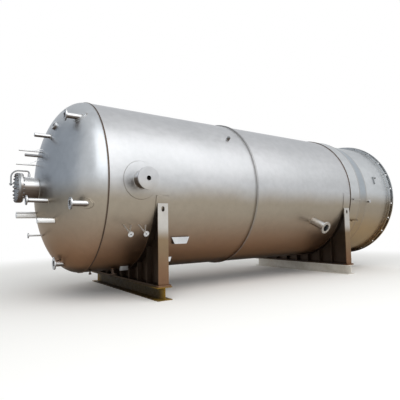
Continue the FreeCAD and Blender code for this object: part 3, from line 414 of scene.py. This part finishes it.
class VesselBoltingSettings(bpy.types.PropertyGroup):
    """Sizes of the manway's studs and nuts."""
    stud_count: bpy.props.IntProperty(
        name="Studs", description="Studs round the manway", default=20, min=4)
    bolt_circle: length("Bolt circle", "Radius of the stud circle", 0.2925)
    stud_radius: length("Stud radius", "Radius of a stud over its thread", 0.0135)
    nut_radius: length("Nut radius", "Radius of a nut over its corners", 0.023)
    nut_height: length("Nut height", "Height of a nut", 0.022)
    stud_tail: length("Stud tail", "Length of a stud past its nut", 0.008)
    # The real thread has a pitch of 3 mm; it is drawn a little coarser, so that it shows.
    thread_pitch: length("Thread pitch", "Pitch of the drawn thread", 0.004)
    thread_depth: length("Thread depth", "Depth of the drawn thread", 0.0018)


class VesselStageSettings(bpy.types.PropertyGroup):
    """Camera and studio."""
    eye: bpy.props.FloatVectorProperty(
        name="Eye", description="Camera position", default=(-3.8054, -8.777, 1.4625), subtype="TRANSLATION")
    yaw: bpy.props.FloatProperty(
        name="Yaw", description="Turn from +Y towards +X", default=math.radians(34.735), subtype="ANGLE")
    pitch: bpy.props.FloatProperty(
        name="Pitch", description="Upward tilt", default=math.radians(4.266), subtype="ANGLE")
    roll: bpy.props.FloatProperty(
        name="Roll", description="Turn about the line of sight", default=math.radians(-1.057),
        subtype="ANGLE")
    focal_length: bpy.props.FloatProperty(
        name="Focal length", description="Lens in millimetres on a 36 mm sensor", default=33.749)
    floor_colour: tone("Floor", "the floor near the vessel", "#F7F7F5")
    floor_size: length("Floor size", "Half the floor's side", 150.0)
    floor_reach: length(
        "Floor fade", "Distance from the vessel where the floor turns into plain white", 9.0)
    ambient: bpy.props.FloatProperty(
        name="Ambient", description="Strength of the soft light from all around", default=0.72)
    board_colour: tone("Board", "the grey studio board that the head mirrors", "#BCC2CA")
    board_size: bpy.props.FloatVectorProperty(
        name="Board size", description="Width and height of the board", size=2, default=(40.0, 16.0))
    board_place: bpy.props.FloatVectorProperty(
        name="Board place", description="Middle of the board", default=(-10.0, 19.0, 8.0),
        subtype="TRANSLATION")


# The finish of each material slot, and the nodes that have a finish of their own.
SLOT_FINISHES = {
    "shell_plate": "blasted_stainless_sheet", "skirt_plate": "pickled_stainless_plate",
    "support_plate": "cut_stainless_plate", "fitting": "turned_stainless_fitting",
    "bolting": "dull_stainless_bolting", "bearer_paint": "worn_ochre_enamel",
    "gasket": "compressed_fibre_sheet",
}
FINISHED_NODES = {
    "blasted_stainless_sheet": (
        "trunnion_pad_near", "trunnion_pad_far", "trunnion_plate_near", "trunnion_plate_far"),
    "pressed_stainless_head": (
        "front_head", "front_head_knuckle", "bottom_head", "head_pad_top", "head_pad_near"),
    "hot_rolled_stainless_course": ("skirt_cone",),
    "rolled_wear_plate": ("wear_plate_front", "wear_plate_rear"),
    "rolled_stainless_neck": ("manway_neck", "trunnion_tube_near", "trunnion_tube_far"),
    "turned_stainless_side_nozzle": ("side_nozzle_rear",),
    # The closed stubs wear near-white steel as a painted highlight.
    "cut_stainless_pipe": ("head_stub_large", "head_stub_lower"),
    "turned_stainless_small_nozzle": ("side_nozzle_front", "side_nozzle_back"),
    "folded_stainless_sheet": ("nameplate_bracket", "earth_lug"),
    # The angle cleat and the shell coupling take this darker grey as painted shade.
    "dull_stainless_forging": ("manway_cover", "davit_arm", "angle_cleat", "shell_coupling"),
    # The short stub on the head takes the bolting's dark grey as painted shade.
    "dull_stainless_bolting": ("head_stub_short",),
    # The drains wear this dark band as painted shade.
    "scoured_stainless_band": ("head_seam_ring", "bottom_drain", "head_drain"),
    "chalky_pale_enamel": ("bearer_rear",),
}


class VESSEL_OT_finishes(bpy.types.Operator):
    """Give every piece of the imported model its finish"""
    bl_idname = "vessel.finishes"
    bl_label = "Apply finishes"

    def execute(self, context):
        tones = context.scene.vessel_finish
        steel = partial(steel_finish, tones)
        ground_seams = (FRONT_HIGH.x, CONE_LOW.x, CONE_HIGH.x)
        skirt_dust = (tones.film_colour, tones.deep_skirt_dust)
        pipe_dust = (tones.neck_dust, tones.deep_neck_dust)
        # Cold rolled sheet, blasted after pickling: an even satin that draws a wide soft highlight.
        # Low down it carries dust and painted reflection of the ground, and painted shade underneath.
        steel("blasted_stainless_sheet", tones.shell_colour, 0.40, 0.006, wave=0.010,
              seams=ground_seams, belly=True)
        # Pressed and polished head: a little glossier than the shell, with the same dust, painted reflection
        # and painted shade.
        steel("pressed_stainless_head", tones.head_colour, 0.36, 0.006, wave=0.006, belly=True)
        # Pickled plate of the skirt: a little cooler in tone than the shell, with dust and painted
        # reflection low down and painted shade underneath.
        steel("pickled_stainless_plate", tones.skirt_colour, 0.42, 0.006, wave=0.008,
              film=tones.skirt_film, dust_colours=skirt_dust, seams=ground_seams, belly=True)
        # Hot rolled and pickled course that kept its dull blue-grey skin, with dust and painted reflection
        # low down.
        steel("hot_rolled_stainless_course", tones.cone_colour, 0.48, 0.006, wave=0.006,
              film=tones.skirt_film, dust_colours=skirt_dust)
        # Cut plate of the saddles: flat and a little rougher, brown low down with dust and painted
        # reflection of the ground, and dark with painted shade between the ribs.
        steel("cut_stainless_plate", tones.support_colour, 0.44, 0.005, film=tones.saddle_film,
              dust_colours=(tones.saddle_dust, tones.deep_saddle_dust), sheltered=True)
        # Bent plates between shell and saddles: like the shell, but dark with painted shade between the
        # saddles' ribs.
        steel("rolled_wear_plate", tones.shell_colour, 0.40, 0.006, sheltered=True)
        # Turned pipes and flanges: bright steel, with dust and painted shade underneath.
        steel("turned_stainless_fitting", tones.fitting_colour, 0.34, 0.003,
              underside=tones.pipe_underside, dust_colours=pipe_dust)
        # Wide pipe of the manway: bright on top, brown from its middle down with dust and painted shade.
        steel("rolled_stainless_neck", tones.fitting_colour, 0.36, 0.004,
              underside=tones.neck_underside, dust_colours=pipe_dust)
        # Large nozzle on the shell's side: bright, with dust and painted shade on the flange face that looks
        # down.
        steel("turned_stainless_side_nozzle", tones.fitting_colour, 0.34, 0.003,
              underside=tones.side_underside)
        # Near-white pipe of the closed stubs: a painted highlight for the bright light they mirror,
        # with painted shade only where it looks down.
        steel("cut_stainless_pipe", tones.fresh_colour, 0.42, 0.003, underside=tones.plate_underside)
        # The two small nozzles on the side with their bright flat braces, with dust and painted shade only
        # where they look down.
        steel("turned_stainless_small_nozzle", tones.fitting_colour, 0.38, 0.003,
              underside=tones.plate_underside)
        # Folded sheet: flat, even and pale, with painted shade only where it looks down.
        steel("folded_stainless_sheet", tones.fitting_colour, 0.42, 0.004, underside=tones.plate_underside)
        # Forged cover of the manway: dull grey from the heat and left so, with dust and painted shade
        # underneath.
        # The angle cleat and the shell coupling wear this darker grey as painted shade.
        steel("dull_stainless_forging", tones.manway_colour, 0.52, 0.004,
              underside=tones.pipe_underside, dust_colours=pipe_dust)
        # Studs and nuts with dried paste on them: duller and darker than the flange they stand on, with dust
        # and painted shade underneath. The short stub on the head wears this dark grey as painted shade.
        steel("dull_stainless_bolting", tones.bolting_colour, 0.42, 0.002,
              underside=tones.pipe_underside, dust_colours=pipe_dust)
        # Band on the head's seam and bead at the collar's edge: dark with the scour of the weld, and with
        # painted shade on faces that look down. The drains, and the collar's bead in its crevice, wear it as
        # painted shade.
        steel("scoured_stainless_band", tones.seam_ring_colour, 0.50, 0.004,
              underside=tones.plate_underside, dust_colours=(tones.seam_ring_colour, tones.grime_colour),
              cloud_colour=tones.grime_colour)
        # Brushed weld metal: a little darker than the sheet.
        steel("brushed_weld_metal", tones.weld_colour, 0.46, 0.004)
        # Ochre enamel, brushed on the front beam, dirty and darkened with painted shade under the vessel.
        paint_finish("worn_ochre_enamel", tones.paint_colour, tones.faded_colour, tones.rust_colour,
                     tones.dirt_colour)
        # Chalky pale enamel of the rear beam.
        paint_finish("chalky_pale_enamel", tones.rear_paint_colour, tones.rear_faded_colour,
                     tones.rear_rust_colour)
        # Compressed fibre of the manway's gasket: a matt dark line.
        sheet_finish("compressed_fibre_sheet", tones)
        by_node = {node: finish for finish, nodes in FINISHED_NODES.items() for node in nodes}
        for part in frame["record"]["subparts"]:
            name = part["node"]
            finish = by_node.get(name, SLOT_FINISHES[part["material_slot"]])
            wear(frame["nodes"][name], finish)
        return {"FINISHED"}


def finished_piece(name, shape, finish):
    """Object at the origin made from a bmesh, riding on the vessel."""
    bmesh.ops.remove_doubles(shape, verts=shape.verts, dist=0.00001)
    bmesh.ops.recalc_face_normals(shape, faces=shape.faces)
    mesh = bpy.data.meshes.new(name)
    shape.to_mesh(mesh)
    shape.free()
    mesh.shade_smooth()
    piece = bpy.data.objects.new(name, mesh)
    bpy.context.scene.collection.objects.link(piece)
    wear(piece, finish)
    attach(piece, "root")
    return piece


# Steps of what is spun: a bead round the vessel, along a wear plate's arc and round a pipe, and a stud.
HOOP_STEPS, ARC_STEPS, COLLAR_STEPS, STUD_STEPS = 180, 60, 48, 16
# How deep a fillet, and any other bead, reaches into the plate under it.
FILLET_SINK, SINK = 0.001, 0.002
# Shares of a fillet's leg, along and up, where its hollow face passes.
HOLLOW = (0.35, 0.42)


def butt_profile(half_width, height):
    """Low domed section of a butt bead, as (along, outwards) points."""
    left = [(-half_width, -SINK), (-half_width, height * 0.1), (-half_width * 0.5, height * 0.8)]
    right = [(-along, outwards) for along, outwards in reversed(left)]
    return left + [(0.0, height)] + right


def fillet_profile(leg, side=1):
    """Slightly hollow section of a fillet in a corner, as (along, outwards) points."""
    toe = side * leg
    return [(0.0, -FILLET_SINK), (0.0, leg), (toe * HOLLOW[0], leg * HOLLOW[1]), (toe, 0.0),
            (toe, -FILLET_SINK)]


def radial(degrees):
    """Direction away from the vessel's axis, at some degrees above the near side."""
    angle = math.radians(degrees)
    return Vector((0, -math.cos(angle), math.sin(angle)))


def spin_ring(beads, points, centre, axis, steps):
    """Spins a closed section once round an axis."""
    edges = [beads.edges.new((points[number], points[number - 1])) for number in range(len(points))]
    bmesh.ops.spin(beads, geom=points + edges, cent=centre, axis=axis, dvec=(0, 0, 0),
                   angle=2 * math.pi, steps=steps, use_merge=True, use_normal_flip=False)


def hoop(beads, profile, x, radius):
    """Bead spun all the way round the vessel's axis."""
    points = [beads.verts.new((x + along, 0, AXIS_HEIGHT + radius + outwards))
              for along, outwards in profile]
    spin_ring(beads, points, (0, 0, AXIS_HEIGHT), (1, 0, 0), HOOP_STEPS)


def run(beads, profile, start_x, end_x, radius, degrees):
    """Straight bead along the vessel, at some degrees above the near side."""
    out = radial(degrees)
    across = Vector((0, out.z, -out.y))
    foot = Vector((start_x, 0, AXIS_HEIGHT)) + out * radius
    points = [beads.verts.new(foot + across * along + out * outwards) for along, outwards in profile]
    face = beads.faces.new(points)
    pulled = bmesh.ops.extrude_face_region(beads, geom=[face])
    moved = [item for item in pulled["geom"] if isinstance(item, bmesh.types.BMVert)]
    bmesh.ops.translate(beads, verts=moved, vec=(end_x - start_x, 0, 0))


def arc(beads, profile, x, radius, from_degrees, to_degrees):
    """Bead spun part of the way round the vessel's axis, between two angles above the near side."""
    out = radial(from_degrees)
    foot = Vector((x, 0, AXIS_HEIGHT)) + out * radius
    face = beads.faces.new([beads.verts.new(foot + Vector((along, 0, 0)) + out * outwards)
                            for along, outwards in profile])
    # Degrees above the near side run against the right-hand turn about +X.
    bmesh.ops.spin(beads, geom=[face], cent=(0, 0, AXIS_HEIGHT), axis=(-1, 0, 0), dvec=(0, 0, 0),
                   angle=math.radians(to_degrees - from_degrees), steps=ARC_STEPS, use_merge=False,
                   use_normal_flip=False)


def collar_bead(beads, radius, leg, surface, place):
    """Fillet round a pipe, laid on the surface that the pipe stands on.

    The pipe runs along the local Z axis of place, and surface gives the local height at (x, y).
    """
    section = [(radius, -SINK), (radius, leg), (radius + leg * HOLLOW[1], leg * HOLLOW[0]),
               (radius + leg, 0.0), (radius + leg, -SINK)]
    points = [beads.verts.new((reach, 0, height)) for reach, height in section]
    spin_ring(beads, points, (0, 0, 0), (0, 0, 1), COLLAR_STEPS)
    ring = set(points)
    for vert in points:
        ring.update(linked_loop(vert))
    for vert in ring:
        vert.co.z += surface(vert.co.x, vert.co.y)
        vert.co = place @ vert.co


def linked_loop(vert):
    """All corners that hang together with one corner."""
    found = {vert}
    waiting = [vert]
    while waiting:
        for edge in waiting.pop().link_edges:
            for other in edge.verts:
                if other not in found:
                    found.add(other)
                    waiting.append(other)
    return found


def head_height(y, z, step=0.0):
    """How far the head's outside, raised by a step, stands in front of its tangent line."""
    rim = SHELL_RADIUS + step
    share = min(1.0, (y * y + (z - AXIS_HEIGHT) ** 2) / rim ** 2)
    return (HEAD_DEPTH + step) * math.sqrt(1 - share)


class VESSEL_OT_shell_welds(bpy.types.Operator):
    """Lay the beads round and along the shell, the collar and the skirt"""
    bl_idname = "vessel.shell_welds"
    bl_label = "Lay shell welds"

    def execute(self, context):
        sizes = context.scene.vessel_weld
        seam_low, seam_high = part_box("head_seam_ring")
        girth_low, girth_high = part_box("girth_ring")
        chair_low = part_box("chair_top_ring")[0]
        base_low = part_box("base_ring")[0]
        butt = butt_profile(sizes.butt_width, sizes.butt_crown)
        leg = sizes.fillet
        # The ring on the head's seam is thin, so its fillets are smaller.
        thin_leg = leg * 0.8
        hoops = (
            (fillet_profile(thin_leg, -1), seam_low.x, SHELL_RADIUS),
            (fillet_profile(thin_leg), seam_high.x, SHELL_RADIUS),
            (fillet_profile(leg, -1), girth_low.x, SHELL_RADIUS),
            (fillet_profile(leg), girth_high.x, SHELL_RADIUS),
            (butt, CONE_LOW.x, COLLAR_RADIUS),
            (butt, CONE_HIGH.x, SKIRT_RADIUS),
            (fillet_profile(leg, -1), chair_low.x, SKIRT_RADIUS),
            (fillet_profile(leg, -1), base_low.x, SKIRT_RADIUS),
        )
        beads = bmesh.new()
        for profile, x, radius in hoops:
            hoop(beads, profile, x, radius)
        courses = ((FRONT_LOW.x, girth_low.x), (girth_high.x, MIDDLE_END), (MIDDLE_END, COLLAR_LOW.x))
        for (start, end), degrees in zip(courses, sizes.seam_degrees):
            run(beads, butt, start, end, SHELL_RADIUS, degrees)
        finished_piece("shell_weld_beads", beads, "brushed_weld_metal")
        # The dark bead where the collar laps the shell also paints the shade in that crevice.
        lap = bmesh.new()
        hoop(lap, fillet_profile(sizes.lap_fillet, -1), COLLAR_LOW.x, SHELL_RADIUS)
        finished_piece("collar_lap_bead", lap, "scoured_stainless_band")
        return {"FINISHED"}


class VESSEL_OT_nozzle_welds(bpy.types.Operator):
    """Lay the fillets round the pipes, pads, trunnions and wear plates"""
    bl_idname = "vessel.nozzle_welds"
    bl_label = "Lay nozzle welds"

    def execute(self, context):
        leg = context.scene.vessel_weld.fillet
        beads = bmesh.new()
        self.head_pipes(beads, leg)
        self.shell_pipes(beads)
        finished_piece("nozzle_weld_beads", beads, "brushed_weld_metal")
        beads = bmesh.new()
        self.wear_plates(beads, leg)
        finished_piece("wear_plate_beads", beads, "rolled_wear_plate")
        return {"FINISHED"}

    def head_pipes(self, beads, leg):
        # Local Z looks forward from the head, along the vessel's -X axis.
        turn = Matrix(((0, 0, -1), (1, 0, 0), (0, -1, 0))).to_4x4()
        for name, (radius, pad) in HEAD_PIPES.items():
            low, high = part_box(name)
            y, z = (low.y + high.y) / 2, (low.z + high.z) / 2
            place = Matrix.Translation((TANGENT, y, z)) @ turn
            step = PAD_THICKNESS if pad else 0.0
            collar_bead(beads, radius, leg, lambda a, b: head_height(y + a, z - b, step), place)
            if pad:
                collar_bead(beads, pad, leg, lambda a, b: head_height(y + a, z - b), place)

    def shell_pipes(self, beads):
        tube_low, tube_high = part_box("trunnion_tube_near")
        pad_low, pad_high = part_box("trunnion_pad_near")
        middle = (pad_low.x + pad_high.x) / 2
        tube_leg, pad_leg = 0.012, 0.010
        pipes = list(NEAR_SIDE_PIPES)
        for degrees in (0.0, 180.0):
            pipes.append((middle, degrees, (tube_high.z - tube_low.z) / 2, -pad_low.y, tube_leg))
            pipes.append((middle, degrees, (pad_high.z - pad_low.z) / 2, SHELL_RADIUS, pad_leg))
        for x, degrees, radius, under, leg in pipes:
            out = radial(degrees)
            along = Vector((1, 0, 0))
            turn = Matrix((along, out.cross(along), out)).transposed().to_4x4()
            place = Matrix.Translation(Vector((x, 0, AXIS_HEIGHT)) + out * under) @ turn
            collar_bead(beads, radius, leg, lambda a, b: math.sqrt(under * under - b * b) - under, place)

    def wear_plates(self, beads, leg):
        # The fillets round the vessel are small, and stop a fifth of a degree short of the plates' horns.
        edge_leg, inset = leg * 0.4, 0.2
        for name in ("wear_plate_front", "wear_plate_rear"):
            low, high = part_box(name)
            horn = math.degrees(math.asin((high.z - AXIS_HEIGHT) / SHELL_RADIUS))
            start, end = horn - inset, -180 - horn + inset
            arc(beads, fillet_profile(edge_leg, -1), low.x, SHELL_RADIUS, start, end)
            arc(beads, fillet_profile(edge_leg), high.x, SHELL_RADIUS, start, end)
            run(beads, fillet_profile(leg), low.x, high.x, SHELL_RADIUS, horn)
            run(beads, fillet_profile(leg, -1), low.x, high.x, SHELL_RADIUS, 180 - horn)


class VESSEL_OT_bolting(bpy.types.Operator):
    """Replace the plain manway studs by threaded studs with chamfered nuts"""
    bl_idname = "vessel.bolting"
    bl_label = "Fit manway bolting"

    def execute(self, context):
        sizes = context.scene.vessel_bolting
        low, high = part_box("manway_studs")
        centre = (low.z + high.z) / 2
        bolts = bmesh.new()
        for number in range(sizes.stud_count):
            angle = 2 * math.pi * (number + 0.5) / sizes.stud_count
            outwards = Vector((0, math.cos(angle), math.sin(angle)))
            place = Vector((0, 0, centre)) + outwards * sizes.bolt_circle
            self.add_stud(bolts, sizes, place, low.x, high.x)
            for start, side in ((low.x + sizes.stud_tail, 1), (high.x - sizes.stud_tail, -1)):
                self.add_nut(bolts, sizes, place + Vector((start + side * sizes.nut_height / 2, 0, 0)))
        piece = finished_piece("threaded_manway_studs", bolts, "dull_stainless_bolting")
        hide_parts("manway_studs")
        return {"FINISHED"}

    def add_stud(self, bolts, sizes, place, start_x, end_x):
        """Stud with round grooves at both ends, where the thread shows."""
        crest = sizes.stud_radius
        root = crest - sizes.thread_depth
        half = sizes.thread_pitch / 2
        outline = [(start_x, 0.0), (start_x, root), (start_x + half / 2, crest)]
        shown = sizes.stud_tail + sizes.nut_height
        for first, last in ((start_x, start_x + shown), (end_x - shown, end_x)):
            x = first + half
            while x < last - half:
                outline += [(x, crest), (x + half / 2, root), (x + half, crest)]
                x += sizes.thread_pitch
        outline += [(end_x - half / 2, crest), (end_x, root), (end_x, 0.0)]
        points = [bolts.verts.new(place + Vector((x, 0, radius))) for x, radius in outline]
        edges = [bolts.edges.new(pair) for pair in zip(points, points[1:])]
        bmesh.ops.spin(bolts, geom=points + edges, cent=place, axis=(1, 0, 0), dvec=(0, 0, 0),
                       angle=2 * math.pi, steps=STUD_STEPS, use_merge=True, use_normal_flip=False)

    def add_nut(self, bolts, sizes, centre):
        """Hexagon nut with chamfered corners."""
        chamfer = sizes.nut_radius * 0.12
        place = Matrix.Translation(centre) @ Matrix.Rotation(math.pi / 2, 4, "Y")
        made = bmesh.ops.create_cone(
            bolts, cap_ends=True, segments=6, radius1=sizes.nut_radius, radius2=sizes.nut_radius,
            depth=sizes.nut_height, matrix=place)
        # The edges round the nut's two ends are those that don't run along it.
        rims = dict.fromkeys(edge for vert in made["verts"] for edge in vert.link_edges
                             if abs(edge.verts[0].co.x - edge.verts[1].co.x) < 1e-6)
        bmesh.ops.bevel(bolts, geom=list(rims), offset=chamfer, affect="EDGES", segments=2,
                        profile=0.5, material=-1)


def softbox(name, size, place, target, radiance):
    """Rectangular lamp of an even brightness that shines at a point."""
    lamp = bpy.data.lights.new(name, "AREA")
    lamp.shape = "RECTANGLE"
    lamp.size, lamp.size_y = size
    lamp.energy = radiance * math.pi * size[0] * size[1]
    box = bpy.data.objects.new(name, lamp)
    bpy.context.scene.collection.objects.link(box)
    box.location = place
    box.rotation_euler = (target - box.location).to_track_quat("-Z", "Y").to_euler()


def seen_light(tree):
    """Gives 1 for what the camera sees, straight or mirrored, and 0 for what only gives light."""
    path = add_node(tree, "ShaderNodeLightPath")
    seen = path.outputs["Is Camera Ray"]
    for kind in ("Is Glossy Ray", "Is Transmission Ray"):
        seen = add_node(tree, "ShaderNodeMath", {0: seen, 1: path.outputs[kind]},
                        operation="MAXIMUM").outputs[0]
    return seen


def studio_sheet(name, width, height, place, finish):
    """Flat sheet of the studio, wide along the local X axis of place and high along its local Y axis."""
    sheet = bmesh.new()
    bmesh.ops.create_grid(sheet, x_segments=1, y_segments=1, size=0.5)
    bmesh.ops.scale(sheet, verts=sheet.verts, vec=(width, height, 1.0))
    bmesh.ops.transform(sheet, verts=sheet.verts, matrix=place)
    mesh = bpy.data.meshes.new(name)
    sheet.to_mesh(mesh)
    sheet.free()
    thing = bpy.data.objects.new(name, mesh)
    bpy.context.scene.collection.objects.link(thing)
    wear(thing, finish)
    return thing


# Row of softboxes above the near side, brightest by the head: size, place and brightness.
SOFTBOXES = (
    ("near_softbox", (13.0, 11.5), (-1.3, -10.5, 10.0), 1.5),
    ("middle_softbox", (7.0, 9.0), (8.6, -10.5, 11.0), 1.0),
    ("far_softbox", (7.5, 9.0), (15.8, -10.5, 13.0), 0.55),
    ("top_softbox", (13.0, 4.0), (3.0, -6.4, 14.0), 1.12),
)


class VESSEL_OT_stage(bpy.types.Operator):
    """Set the floor, the soft light and the camera"""
    bl_idname = "vessel.stage"
    bl_label = "Set the stage"

    def execute(self, context):
        scene = context.scene
        stage = scene.vessel_stage
        scene.view_settings.view_transform = "Standard"
        self.lay_floor(stage)
        self.stand_board(stage)
        self.light(scene, stage)
        self.set_camera(scene, stage)
        return {"FINISHED"}

    def lay_floor(self, stage):
        """Painted studio floor: matt and almost white.

        Far from the vessel the camera, and what mirrors it, sees a plain white of strength 1, so that
        the floor runs into the backdrop.
        """
        tree, output = new_material("matt_white_floor")
        paint = add_node(tree, "ShaderNodeBsdfPrincipled", {
            "Base Color": linear(stage.floor_colour), "Roughness": 0.9, "Specular IOR Level": 0.1})
        white = add_node(tree, "ShaderNodeEmission", {"Color": linear("#FFFFFF"), "Strength": 1.0})
        away = add_node(tree, "ShaderNodeVectorMath", {
            0: add_node(tree, "ShaderNodeTexCoord").outputs["Object"], 1: (MIDDLE_X, 0.0, 0.0)},
            operation="DISTANCE")
        half_length = SKIRT_HIGH.x - MIDDLE_X
        fade = add_node(tree, "ShaderNodeMapRange", {
            "Value": away.outputs["Value"], "From Min": half_length + stage.floor_reach / 3,
            "From Max": half_length + stage.floor_reach}, interpolation_type="SMOOTHSTEP")
        share = add_node(tree, "ShaderNodeMath", {0: fade.outputs["Result"], 1: seen_light(tree)},
                         operation="MULTIPLY")
        mixed = add_node(tree, "ShaderNodeMixShader", {
            0: share.outputs[0], 1: paint.outputs["BSDF"], 2: white.outputs["Emission"]})
        tree.links.new(mixed.outputs["Shader"], output.inputs["Surface"])
        side = 2 * stage.floor_size
        studio_sheet("studio_floor", side, side, Matrix(), "matt_white_floor")

    def light(self, scene, stage):
        """Soft light from all around, white where it is seen, and the softboxes."""
        world = bpy.data.worlds.new("soft_studio")
        world.use_nodes = True
        scene.world = world
        tree = world.node_tree
        tree.nodes.clear()
        strength = add_node(tree, "ShaderNodeMapRange", {
            "Value": seen_light(tree), "To Min": stage.ambient, "To Max": 1.0})
        sky = add_node(tree, "ShaderNodeBackground", {
            "Color": linear("#FFFFFF"), "Strength": strength.outputs["Result"]})
        output = add_node(tree, "ShaderNodeOutputWorld")
        tree.links.new(sky.outputs["Background"], output.inputs["Surface"])
        middle = Vector((MIDDLE_X, 0, AXIS_HEIGHT))
        for name, size, place, radiance in SOFTBOXES:
            softbox(name, size, Vector(place), middle, radiance)

    def stand_board(self, stage):
        """Grey board in front of the head, which only mirrored light meets."""
        tree, output = new_material("grey_studio_board")
        glow = add_node(tree, "ShaderNodeEmission", {"Color": linear(stage.board_colour), "Strength": 1.0})
        tree.links.new(glow.outputs["Emission"], output.inputs["Surface"])
        turn = Matrix.Rotation(math.pi / 2, 4, "Y") @ Matrix.Rotation(math.pi / 2, 4, "Z")
        place = Matrix.Translation(stage.board_place) @ turn
        board = studio_sheet("studio_board", *stage.board_size, place, "grey_studio_board")
        board.visible_camera = False
        board.visible_diffuse = False
        board.visible_shadow = False

    def set_camera(self, scene, stage):
        """Camera where the photo was taken from."""
        forward = Vector((math.sin(stage.yaw) * math.cos(stage.pitch),
                          math.cos(stage.yaw) * math.cos(stage.pitch), math.sin(stage.pitch)))
        level = Vector((math.cos(stage.yaw), -math.sin(stage.yaw), 0))
        upright = level.cross(forward)
        right = level * math.cos(stage.roll) + upright * math.sin(stage.roll)
        up = upright * math.cos(stage.roll) - level * math.sin(stage.roll)
        lens = bpy.data.cameras.new("photo_camera")
        lens.sensor_fit = "HORIZONTAL"
        lens.sensor_width = 36.0
        lens.lens = stage.focal_length
        lens.clip_end = 500.0
        camera = bpy.data.objects.new("photo_camera", lens)
        scene.collection.objects.link(camera)
        turn = Matrix((right, up, -forward)).transposed().to_4x4()
        camera.matrix_world = Matrix.Translation(Vector(stage.eye)) @ turn
        scene.camera = camera


class VESSEL_PT_dressing(bpy.types.Panel):
    """Panel of the vessel's dressing"""
    bl_idname = "VESSEL_PT_dressing"
    bl_label = "Pressure vessel"
    bl_space_type = "VIEW_3D"
    bl_region_type = "UI"
    bl_category = "Vessel"

    def draw(self, context):
        layout = self.layout
        groups = (
            (context.scene.vessel_finish, ("vessel.finishes",)),
            (context.scene.vessel_weld, ("vessel.shell_welds", "vessel.nozzle_welds")),
            (context.scene.vessel_bolting, ("vessel.bolting",)),
            (context.scene.vessel_stage, ("vessel.stage",)),
        )
        for settings, operators in groups:
            box = layout.box()
            for name in settings.bl_rna.properties.keys():
                if name not in {"rna_type", "name"}:
                    box.prop(settings, name)
            for operator in operators:
                box.operator(operator)


SETTINGS = {
    "vessel_finish": VesselFinishSettings,
    "vessel_weld": VesselWeldSettings,
    "vessel_bolting": VesselBoltingSettings,
    "vessel_stage": VesselStageSettings,
}
OPERATORS = (
    VESSEL_OT_finishes, VESSEL_OT_shell_welds, VESSEL_OT_nozzle_welds, VESSEL_OT_bolting, VESSEL_OT_stage,
)


def register():
    for name, group in SETTINGS.items():
        bpy.utils.register_class(group)
        setattr(bpy.types.Scene, name, bpy.props.PointerProperty(type=group))
    for kind in OPERATORS + (VESSEL_PT_dressing,):
        bpy.utils.register_class(kind)


def unregister():
    for kind in reversed(OPERATORS + (VESSEL_PT_dressing,)):
        bpy.utils.unregister_class(kind)
    for name, group in SETTINGS.items():
        delattr(bpy.types.Scene, name)
        bpy.utils.unregister_class(group)


def main():
    register()
    bpy.ops.vessel.finishes()
    bpy.ops.vessel.shell_welds()
    bpy.ops.vessel.nozzle_welds()
    bpy.ops.vessel.bolting()
    bpy.ops.vessel.stage()


if __name__ == "__main__":
    main()
